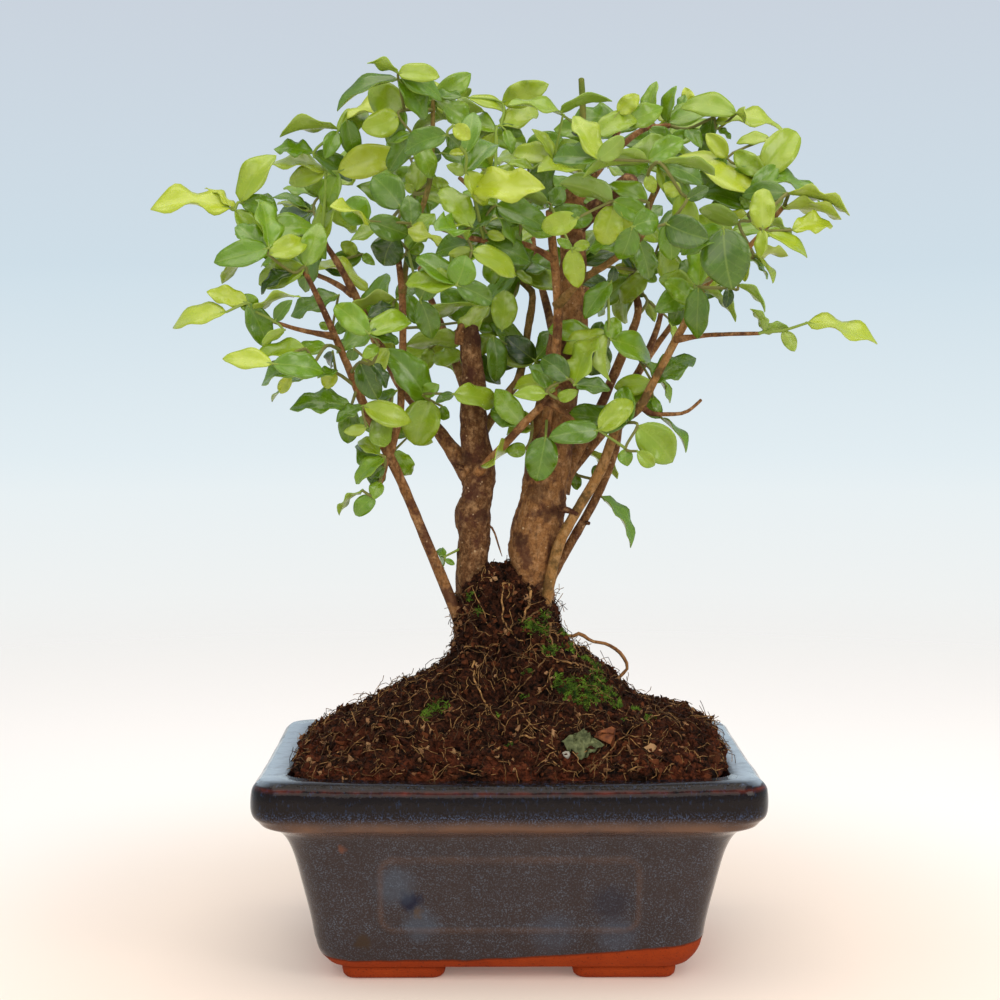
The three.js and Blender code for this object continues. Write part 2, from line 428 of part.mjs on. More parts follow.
// The moulded frame on the front and back wall: a ridge round a plain field
function panels() {
  const flat = (ring) => ring.map((point) => new THREE.Vector2(point.x, point.y));
  const outline = new THREE.Shape(flat(roundedRing(PANEL_HALF[0], PANEL_HALF[1], 6, 0, 3)));
  const inside = roundedRing(PANEL_HALF[0] - PANEL_RIDGE, PANEL_HALF[1] - PANEL_RIDGE, 4, 0, 3);
  outline.holes.push(new THREE.Path(flat(inside).reverse()));
  const low = POT_OUTLINE.find(([z]) => z === PANEL_LOW);
  const high = POT_OUTLINE.find(([z]) => z === PANEL_HIGH);
  const [out, up] = [high[1] - low[1], high[0] - low[0]];
  const lean = Math.atan2(out, up);
  const middle = low[1] + out * (PANEL_MIDDLE_Z - low[0]) / up - BODY_DEPTH_LESS;
  return [0, Math.PI].map((turn) => {
    const depth = 4 + PANEL_STANDS_OUT;
    const frame = new THREE.ExtrudeGeometry(outline, { depth, bevelEnabled: false, curveSegments: 1 });
    frame.translate(0, 0, -4);
    frame.rotateX(Math.PI / 2 + lean);
    frame.translate(0, -middle, PANEL_MIDDLE_Z);
    frame.rotateZ(turn);
    return solidFrom(frame);
  });
}

function potSolid() {
  const body = skin([...POT_OUTLINE, ...POT_INSIDE].map((row) => potRing(row)));
  const holes = [-DRAIN_HOLE_X, DRAIN_HOLE_X].map((x) => {
    const hole = new THREE.CylinderGeometry(DRAIN_HOLE_RADIUS, DRAIN_HOLE_RADIUS, 30, 16);
    hole.rotateX(Math.PI / 2);
    return solidFrom(moved(hole, x, 0, 5));
  });
  return join([body, ...feet(), ...panels()]).subtract(join(holes));
}

// The drain meshes

function drainMesh(x) {
  const middleZ = FLOOR_TOP + GAP + MESH_THICK / 2;
  const plate = solidFrom(moved(new THREE.BoxGeometry(MESH_SIDE, MESH_SIDE, MESH_THICK), x, 0, middleZ));
  const holes = [];
  for (const column of [-1, 1]) {
    for (const row of [-1, 1]) {
      const hole = new THREE.BoxGeometry(MESH_HOLE, MESH_HOLE, MESH_THICK * 3);
      holes.push(solidFrom(moved(hole, x + column * MESH_PITCH, row * MESH_PITCH, middleZ)));
    }
  }
  return plate.subtract(join(holes));
}

// The wood

// A closed tube through centres with a radius at each, its section kept from twisting
function tube(centres, radii, sides) {
  const along = centres.map((centre, i) => {
    const before = centres[Math.max(0, i - 1)];
    const after = centres[Math.min(centres.length - 1, i + 1)];
    return after.clone().sub(before).normalize();
  });
  const start = Math.abs(along[0].x) < 0.8 ? new THREE.Vector3(1, 0, 0) : new THREE.Vector3(0, 1, 0);
  let across = start;
  return skin(centres.map((centre, i) => {
    across = across.clone().addScaledVector(along[i], -across.dot(along[i])).normalize();
    const other = along[i].clone().cross(across);
    return Array.from({ length: sides }, (_, side) => {
      const angle = side / sides * 2 * Math.PI;
      return centre.clone()
        .addScaledVector(across, radii[i] * Math.cos(angle))
        .addScaledVector(other, radii[i] * Math.sin(angle));
    });
  }));
}

function branchCentres(branch) {
  return branch.map(([x, z, depth]) => seen(x, z, depth));
}

function woodSolid(extra) {
  return join(Object.entries(WOOD).map(([name, branch]) => {
    const centres = branchCentres(branch);
    if (extra > 0) {
      const last = centres.length - 1;
      const first = centres[0].clone().sub(centres[1]).setLength(extra);
      const final = centres[last].clone().sub(centres[last - 1]).setLength(extra);
      centres[0].add(first);
      centres[last].add(final);
    }
    return tube(centres, branch.map((row) => row[3] + extra), WOOD_SIDES[name] ?? BRANCH_SIDES);
  }));
}

// The soil

// Rings of the heap above the rim: [z, left x, right x, half depth]
const HEAP = [[62.5, -67, 67, 44], [66, -68.5, 68.8, 43], [71, -63, 68.5, 37.5], [76, -56.5, 63, 32],
  [79.5, -47, 50, 28], [84.5, -39, 40, 23], [89, -29, 35.5, 20], [94.5, -20.5, 29, 17],
  [100.5, -17.5, 20.5, 14], [106, -17, 16.8, 12], [113, -17, 15, 10.5], [119, -15, 12, 9], [126.5, -8, 3, 5]];
const SOIL_ROUGHNESS = 1.1;

function heapRing([z, left, right, halfDepth], level) {
  const middle = (left + right) / 2;
  const halfX = (right - left) / 2;
  const corner = Math.min(halfX, halfDepth) * (level < 2 ? 0.3 : 0.85);
  const ring = roundedRing(halfX, halfDepth, corner, z + RAISE, SOIL_STEPS);
  return ring.map((point, i) => {
    const rough = level === 0 ? 0 : SOIL_ROUGHNESS * (chance(level * 100 + i) - 0.5);
    const stretch = 1 + rough / halfX;
    return new THREE.Vector3(middle + point.x * stretch, point.y * stretch, point.z + rough);
  });
}

function soilSolid(holes) {
  const rows = POT_INSIDE.slice(2).reverse();
  const wall = rows.map(([z, half, corner]) => potRing([z, half - WALL_GAP, corner], SOIL_STEPS));
  wall[0].forEach((point) => { point.z += MESH_THICK + 2 * GAP; });
  const soil = skin([...wall, ...HEAP.map(heapRing)]);
  return biggestPiece(soil.subtract(holes).simplify(SMOOTHING));
}

// The shoots

// A leaf's middle line, side and normal, turned about that line until it looks as wide as it was seen
function leafFrame(leaf, base, tipDepth) {
  const [, , tipX, tipZ, width, side] = leaf;
  const tip = seen(tipX, tipZ, tipDepth);
  const axis = tip.clone().sub(base);
  const length = axis.length();
  axis.normalize();
  const view = VIEWPOINT.clone().sub(base).normalize();
  const facing = view.clone().addScaledVector(axis, -view.dot(axis)).normalize();
  const across = axis.clone().cross(facing);
  const trueWidth = Math.max(width, LEAF_ASPECT * length);
  const cosine = Math.min(1, width / trueWidth);
  const sine = Math.sqrt(1 - cosine * cosine);
  const toView = side === U ? -cosine : cosine;
  const normal = facing.clone().multiplyScalar(toView).addScaledVector(across, sine);
  const other = facing.clone().multiplyScalar(toView).addScaledVector(across, -sine);
  if (other.z > normal.z) normal.copy(other);
  return { base, axis, normal, length, across: axis.clone().cross(normal), halfWidth: trueWidth / 2 };
}

// A point of the blade: along from 0 to 1, out from -1 to 1 half width, and a height over the blade
function bladePoint(frame, along, out, height) {
  const arch = LEAF_ARCH * frame.length * Math.sin(Math.PI * along);
  return frame.base.clone()
    .addScaledVector(frame.axis, along * frame.length)
    .addScaledVector(frame.across, out * frame.halfWidth)
    .addScaledVector(frame.normal, arch + LEAF_FOLD * Math.abs(out) * frame.halfWidth + height);
}

// The blade's half width along the leaf, as parts of the widest, with fewer sections in a small leaf
const BLADE = [[0.22, 0.82], [0.62, 0.95]];
const SMALL_BLADE = [[0.45, 1]];

// A leaf runs to a point at each end, and its root is sunk in its twig
function leafSolid({ frame, root }) {
  const rings = (frame.length < SMALL_LEAF ? SMALL_BLADE : BLADE).map(([along, out]) => [
    bladePoint(frame, along, out, 0),
    bladePoint(frame, along, 0, -LEAF_KEEL),
    bladePoint(frame, along, -out, 0),
  ]);
  const sunk = root.clone().addScaledVector(frame.axis, -ROOT_SUNK);
  return skin([[sunk], ...rings, [bladePoint(frame, 1, 0, 0)]]);
}

const SAMPLE_ALONG = [0.3, 0.45, 0.6, 0.75, 0.9, 1];
const SAMPLE_OUT = [-0.85, -0.4, 0, 0.4, 0.85];
const MIDDLE_SAMPLE = 14;
const FAR_APART = 35;

function leafSamples(frame) {
  return SAMPLE_ALONG.flatMap((along) => {
    const taper = Math.min(1, 2.2 * (1 - along) + 0.15);
    return SAMPLE_OUT.map((out) => bladePoint(frame, along, out * taper, 0));
  });
}

// The back shoots' leaves stand in pairs, each pair a quarter turn from the last
function backLeaves(shoot, order) {
  const leaves = [];
  for (let pair = 1; pair <= shoot.pairs; pair += 1) {
    const along = pair / shoot.pairs;
    const at = [0, 1, 2].map((i) => shoot.foot[i] + (shoot.tip[i] - shoot.foot[i]) * along);
    for (const side of [-1, 1]) {
      const seed = order * 50 + pair * 2 + side;
      const turn = pair * Math.PI / 2 + 0.6 * chance(seed);
      const length = BACK_LEAF_LENGTH * (0.75 + 0.4 * chance(seed + 7));
      const [dx, dy] = [side * Math.cos(turn) * length, side * Math.sin(turn) * length];
      const rise = length * (0.5 * chance(seed + 13) - 0.1);
      const row = [at[0], at[1], at[0] + dx, at[1] + rise, BACK_LEAF_WIDTH];
      leaves.push({ row, depth: at[2], tip: at[2] + dy });
    }
  }
  return leaves;
}

// Leaf bases sit at the depth between foot and end that their distance from the foot gives
function tracedLeaves(shoot, order) {
  const reach = shoot.leaves.map(([x, z]) => Math.hypot(x - shoot.foot[0], z - shoot.foot[1]));
  const furthest = Math.max(...reach, 6);
  return shoot.leaves.map((row, i) => {
    const depth = shoot.foot[2] + (shoot.end - shoot.foot[2]) * reach[i] / furthest;
    const length = Math.hypot(row[2] - row[0], row[3] - row[1]);
    const lean = (chance(order * 40 + i) - 0.5) * 0.9 * length;
    return { row, depth, tip: depth + lean };
  });
}

// The shoot's joints, from the foot on: each leaf base joins the nearest joint, the nearest base first.
// A base close to a joint shares it.
function growJoints(foot, bases) {
  const joints = [{ point: foot, parent: null, height: 0 }];
  const leafJoints = [];
  const waiting = bases.map((base, i) => i);
  while (waiting.length > 0) {
    let best = { distance: Infinity };
    waiting.forEach((i, place) => joints.forEach((joint) => {
      const distance = bases[i].distanceTo(joint.point);
      if (distance < best.distance) best = { distance, i, place, joint };
    }));
    waiting.splice(best.place, 1);
    if (best.distance > SAME_NODE) {
      const joint = { point: bases[best.i], parent: best.joint, height: 0 };
      joints.push(joint);
      leafJoints[best.i] = joint;
      let above = 1;
      for (let below = joint.parent; below; below = below.parent) {
        below.height = Math.max(below.height, above);
        above += 1;
      }
    } else {
      leafJoints[best.i] = best.joint;
    }
  }
  return { joints, leafJoints };
}

// The twigs as runs of joints: the tallest child carries a run on, and each other child starts one
function twigRuns(joints) {
  const childrenOf = (joint) => joints.filter((child) => child.parent === joint)
    .sort((a, b) => b.height - a.height);
  const runs = [];
  const follow = (run, joint) => {
    run.push(joint.point);
    const [first, ...others] = childrenOf(joint);
    if (first) follow(run, first);
    for (const other of others) {
      const side = [joint.point];
      runs.push(side);
      follow(side, other);
    }
  };
  const main = [];
  runs.push(main);
  follow(main, joints[0]);
  return runs.filter((run) => run.length > 1);
}

function distanceToLine(point, start, end) {
  return new THREE.Line3(start, end).closestPointToPoint(point, true, new THREE.Vector3()).distanceTo(point);
}

const shoots = [
  ...Object.entries(SHOOTS).map(([name, shoot], order) => (
    { name, foot: seen(...shoot.foot), leaves: tracedLeaves(shoot, order) })),
  ...Object.entries(BACK_SHOOTS).map(([name, shoot], order) => (
    { name, foot: seen(...shoot.foot), leaves: backLeaves(shoot, order) })),
];

const woodLines = Object.values(WOOD).flatMap((branch) => {
  const centres = branchCentres(branch);
  return centres.slice(1).map((end, i) => (
    { start: centres[i], end, radius: Math.max(branch[i][3], branch[i + 1][3]), owner: null }));
});
const twigLines = [];
for (const shoot of shoots) {
  shoot.bases = shoot.leaves.map(({ row, depth }) => seen(row[0], row[1], depth));
  const { joints, leafJoints } = growJoints(shoot.foot, shoot.bases);
  shoot.joints = joints;
  shoot.roots = leafJoints.map((joint) => joint.point);
  shoot.runs = twigRuns(joints);
  for (const { point, parent } of joints.slice(1)) {
    twigLines.push({ start: parent.point, end: point, radius: TWIG_RADIUS, owner: shoot });
  }
}
const lines = [...woodLines, ...twigLines];

// How far a leaf keeps from the leaves placed before it and from twigs that aren't its own
function clearance(samples, placed, shoot) {
  let least = Infinity;
  for (const other of placed) {
    if (other.samples[MIDDLE_SAMPLE].distanceTo(samples[MIDDLE_SAMPLE]) > FAR_APART) continue;
    for (const a of samples) for (const b of other.samples) least = Math.min(least, a.distanceTo(b));
  }
  for (const line of lines) {
    if (line.owner === shoot) continue;
    const allowance = line.radius + CLEAR_OF_TWIG - CLEAR_OF_LEAF;
    for (const a of samples) least = Math.min(least, distanceToLine(a, line.start, line.end) - allowance);
  }
  return least;
}

const placed = [];

for (const shoot of shoots) {
  shoot.leaves.forEach(({ row, tip }, i) => {
    let best = { least: -Infinity };
    for (const shift of TIP_SHIFTS) {
      const frame = leafFrame(row, shoot.bases[i], tip + shift);
      const samples = leafSamples(frame);
      const least = clearance(samples, placed, shoot);
      if (least > best.least) best = { least, frame, samples, shoot, root: shoot.roots[i] };
      if (least >= CLEAR_OF_LEAF) break;
    }
    if (best.least >= CLEAR_AT_LEAST) placed.push(best);
  });
}

// Fill leaves. Each traced shoot gets one more, behind the leaves that were traced, where most room is seen.

// The crown's outline as it is seen
const CROWN = [[-92, 248], [-87, 259], [-70, 269], [-56, 279], [-48, 288], [-30, 291], [-13, 288],
  [-3, 281], [27, 277], [44, 281], [64, 279], [85, 274], [98, 264], [103, 253], [98, 236], [88, 222],
  [76, 215], [64, 205], [61, 189], [51, 172], [31, 165], [16, 166], [-3, 176], [-18, 182], [-33, 169],
  [-50, 160], [-60, 176], [-75, 182], [-85, 192], [-92, 208], [-97, 225]];
const FILL_LENGTH = 17;
const FILL_WIDTH = 8;
const FILL_TURNS = 10;

function inCrown(x, z) {
  let inside = false;
  CROWN.forEach(([x1, z1], i) => {
    const [x2, z2] = CROWN.at(i - 1);
    if ((z1 > z) !== (z2 > z) && x < (x2 - x1) * (z - z1) / (z2 - z1) + x1) inside = !inside;
  });
  return inside;
}

// Where a point is seen on the plane y = 0
function flattened(point) {
  const shrink = -VIEWPOINT.y / (point.y - VIEWPOINT.y);
  const onPlane = point.clone().sub(VIEWPOINT).multiplyScalar(shrink).add(VIEWPOINT);
  return new THREE.Vector2(onPlane.x, onPlane.z - RAISE);
}

// The distance, as seen, from a leaf's middle to that of the next leaf
function roomOf(leaf) {
  const middle = flattened(leaf.samples[MIDDLE_SAMPLE]);
  return Math.min(...placed.map((other) => flattened(other.samples[MIDDLE_SAMPLE]).distanceTo(middle)));
}

function fillLeaf(shoot, order) {
  let best = { room: 0 };
  shoot.joints.forEach(({ point }, number) => {
    const from = flattened(point);
    for (let turn = 0; turn < FILL_TURNS; turn += 1) {
      const seed = order * 300 + number * 12 + turn;
      const length = FILL_LENGTH * (0.8 + 0.35 * chance(seed));
      const angle = (turn + chance(seed + 3)) / FILL_TURNS * 2 * Math.PI;
      const tip = [from.x + length * Math.cos(angle), from.y + length * Math.sin(angle)];
      if (!inCrown(...tip)) continue;
      const tipDepth = point.y + length * (0.2 + 0.5 * chance(seed + 5));
      const frame = leafFrame([from.x, from.y, ...tip, FILL_WIDTH], point, tipDepth);
      const leaf = { frame, samples: leafSamples(frame), shoot, root: point };
      const room = roomOf(leaf);
      if (room <= best.room) continue;
      if (clearance(leaf.samples, placed, shoot) >= CLEAR_OF_LEAF) best = { ...leaf, room };
    }
  });
  return best;
}

shoots.slice(0, Object.keys(SHOOTS).length).forEach((shoot, order) => {
  const leaf = fillLeaf(shoot, order);
  if (leaf.room > 0) placed.push(leaf);
});

// Assembly

const wood = biggestPiece(woodSolid(0).simplify(SMOOTHING));
const woodHoles = woodSolid(GAP);

addNode('pot', potSolid(), '#34405a', 0.25);
addNode('drain_mesh_left', drainMesh(-DRAIN_HOLE_X), '#202020', 0.6);
addNode('drain_mesh_right', drainMesh(DRAIN_HOLE_X), '#202020', 0.6);
addNode('soil', soilSolid(woodHoles), '#2b1a12', 1);
addNode('wood', wood, '#8a6a4c', 0.9);

const finished = [];
for (const shoot of shoots) {
  const twigs = shoot.runs.map((run) => tube(run, run.map(() => TWIG_RADIUS), TWIG_SIDES));
  const blades = placed.filter((leaf) => leaf.shoot === shoot).map(leafSolid);
  const free = blades.filter((blade) => finished.every((other) => blade.intersect(other).volume() < TOUCH));
  const solid = biggestPiece(join([...twigs, ...free]).subtract(woodHoles).simplify(SMOOTHING));
  finished.push(solid);
  addNode(`shoot_${shoot.name}`, solid, '#5b8f2a', 0.4);
}

export default group;
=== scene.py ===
# %% [markdown]
# # A Chinese privet bonsai in a glazed pot
#
# The plant is a young Chinese privet with two trunks on one root crown. It stands in a heap of dark peat,
# in a rectangular stoneware pot with a dark blue glaze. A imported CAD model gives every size. This lesson
# loads that model and makes each visible piece again with the detail that the eye expects: grain, veins,
# crumbs and glaze.
#
# All lengths below are in millimetres, and one function turns them to Blender's metres when a mesh is made.

# %% Load the CAD model
import json
import math

import bmesh
import bpy
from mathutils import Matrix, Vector, noise
from mathutils.bvhtree import BVHTree

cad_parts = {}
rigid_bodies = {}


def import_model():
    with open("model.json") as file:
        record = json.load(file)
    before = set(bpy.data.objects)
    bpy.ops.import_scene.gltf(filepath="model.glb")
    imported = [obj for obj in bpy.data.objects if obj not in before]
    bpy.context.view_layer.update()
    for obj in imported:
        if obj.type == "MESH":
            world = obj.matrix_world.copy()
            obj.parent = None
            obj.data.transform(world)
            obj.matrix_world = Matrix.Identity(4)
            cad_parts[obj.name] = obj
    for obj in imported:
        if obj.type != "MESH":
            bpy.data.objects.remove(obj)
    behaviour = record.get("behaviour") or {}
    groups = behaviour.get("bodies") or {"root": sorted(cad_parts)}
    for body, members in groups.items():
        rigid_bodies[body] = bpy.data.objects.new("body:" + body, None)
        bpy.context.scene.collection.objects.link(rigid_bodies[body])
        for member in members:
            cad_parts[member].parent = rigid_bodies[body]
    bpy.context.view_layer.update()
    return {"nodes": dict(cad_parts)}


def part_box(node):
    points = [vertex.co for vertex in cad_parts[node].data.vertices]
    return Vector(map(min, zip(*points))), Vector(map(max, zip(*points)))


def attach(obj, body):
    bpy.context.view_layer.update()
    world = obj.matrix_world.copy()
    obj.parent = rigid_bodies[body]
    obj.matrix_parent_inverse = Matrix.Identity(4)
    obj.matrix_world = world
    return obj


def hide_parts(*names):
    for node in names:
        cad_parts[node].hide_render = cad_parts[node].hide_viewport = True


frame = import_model()
MM = 0.001

# %% [markdown]
# ## The camera
#
# The camera comes first, because the plant was drawn as this camera sees it. A plant can't be measured from
# one picture with a ruler, but each leaf can be placed on the sight line that shows it. So every point of
# the plant below is noted as the x and z where its sight line crosses the plane y = 0, together with its
# real depth y. The function `seen` walks along the sight line to that depth. The heights were noted from a
# zero that lies RAISE above the surface that the feet stand on.

# %% Camera and sight lines
RAISE = 2.5
CAMERA_PLACE = Vector((-6.8, -615, 189 + RAISE))
CAMERA_DOWN_DEGREES = 3.74
CAMERA_TURN = -0.0067

camera_data = bpy.data.cameras.new("camera")
camera_data.sensor_width = 36
camera_data.lens = 66.7
camera = bpy.data.objects.new("camera", camera_data)
camera.location = CAMERA_PLACE * MM
camera.rotation_euler = (math.radians(90 - CAMERA_DOWN_DEGREES), 0, CAMERA_TURN)
bpy.context.scene.collection.objects.link(camera)
bpy.context.scene.camera = camera


def seen(x, z, depth):
    stretch = (depth - CAMERA_PLACE.y) / -CAMERA_PLACE.y
    return CAMERA_PLACE + (Vector((x, 0, z + RAISE)) - CAMERA_PLACE) * stretch


print("camera at", CAMERA_PLACE, "mm; a point 40 mm behind the plane:", seen(50, 200, 40))

# %% [markdown]
# ## Small tools
#
# A few helpers serve every piece. One turns a colour from the usual hex notation to the linear light that
# shaders work in. One adds a shader or geometry node with its settings and links. Three more open a
# material, lay a coat of one colour over another, and close the material. One makes a mesh object from
# points in millimetres. The last gives numbers that look random but are the same at each run, which keeps
# the plant the same in every render.

# %% Helpers


def colour(hex_text):
    channels = [int(hex_text[i:i + 2], 16) / 255 for i in (1, 3, 5)]
    linear = [c / 12.92 if c <= 0.04045 else ((c + 0.055) / 1.055) ** 2.4 for c in channels]
    return (*linear, 1)


def add(tree, kind, links=None, **settings):
    """A node with its settings. An input takes a value, a hex colour, a socket, or a node's first output."""
    made = tree.nodes.new(kind)
    for name, value in settings.items():
        setattr(made, name, value)
    for name, value in (links or {}).items():
        if isinstance(value, bpy.types.Node):
            value = next(output for output in value.outputs if output.enabled)
        if isinstance(value, bpy.types.NodeSocket):
            tree.links.new(value, made.inputs[name])
        else:
            is_colour = isinstance(value, str) and value.startswith("#")
            made.inputs[name].default_value = colour(value) if is_colour else value
    return made


def open_material(name):
    """A material, its node tree, and a node that gives each point's place in millimetres."""
    material = bpy.data.materials.new(name)
    material.use_nodes = True
    tree = material.node_tree
    tree.nodes.clear()
    place = add(tree, "ShaderNodeTexCoord").outputs["Object"]
    in_mm = add(tree, "ShaderNodeVectorMath", {0: place, 1: (1 / MM,) * 3}, operation="MULTIPLY")
    return material, tree, in_mm


def coat(tree, under, tint, field, low, high, most=1, least=0, only=None):
    """Lays a tint over a colour: least of it where the field is low, most where it is high, times only."""
    part = add(tree, "ShaderNodeMapRange", {0: field, 1: low, 2: high, 3: least, 4: most})
    if only is not None:
        part = add(tree, "ShaderNodeMath", {0: part, 1: only}, operation="MULTIPLY")
    return add(tree, "ShaderNodeMix", {0: part, 6: under, 7: tint}, data_type="RGBA")


def ragged_front(tree, in_mm, size, detail, reach):
    """Each point's place as seen from the front, moved about, so that round marks get ragged edges."""
    x, y, z = add(tree, "ShaderNodeSeparateXYZ", {0: in_mm}).outputs
    flat = add(tree, "ShaderNodeCombineXYZ", {0: x, 2: z})
    drift = add(tree, "ShaderNodeTexNoise", {"Vector": in_mm, "Scale": 1 / size, "Detail": detail})
    moved = drift.outputs["Color"]
    moved = add(tree, "ShaderNodeVectorMath", {0: moved, 1: (0.5, 0.5, 0.5)}, operation="SUBTRACT")
    moved = add(tree, "ShaderNodeVectorMath", {0: moved, "Scale": reach}, operation="SCALE")
    return add(tree, "ShaderNodeVectorMath", {0: flat, 1: moved}, operation="ADD")


def close_material(tree, looks):
    shader = add(tree, "ShaderNodeBsdfPrincipled", looks)
    add(tree, "ShaderNodeOutputMaterial", {"Surface": shader})


def piece(name, points, faces, slot, smooth=True):
    mesh = bpy.data.meshes.new(name)
    mesh.from_pydata([point * MM for point in points], [], faces)
    mesh.polygons.foreach_set("use_smooth", [smooth] * len(mesh.polygons))
    made = bpy.data.objects.new(name, mesh)
    bpy.context.scene.collection.objects.link(made)
    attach(made, "root")
    return made


def mark_points(made, label, values):
    """Stores a number on each point of the mesh, for a material to read."""
    made.data.attributes.new(label, "FLOAT", "POINT").data.foreach_set("value", values)


def chance(seed):
    wave = math.sin(seed * 12.9898 + 78.233) * 43758.5453
    return wave - math.floor(wave)


def triangles(made):
    made.data.calc_loop_triangles()
    return len(made.data.loop_triangles)


print("dark glaze #3d4250 in linear light:", [round(c, 3) for c in colour("#3d4250")])
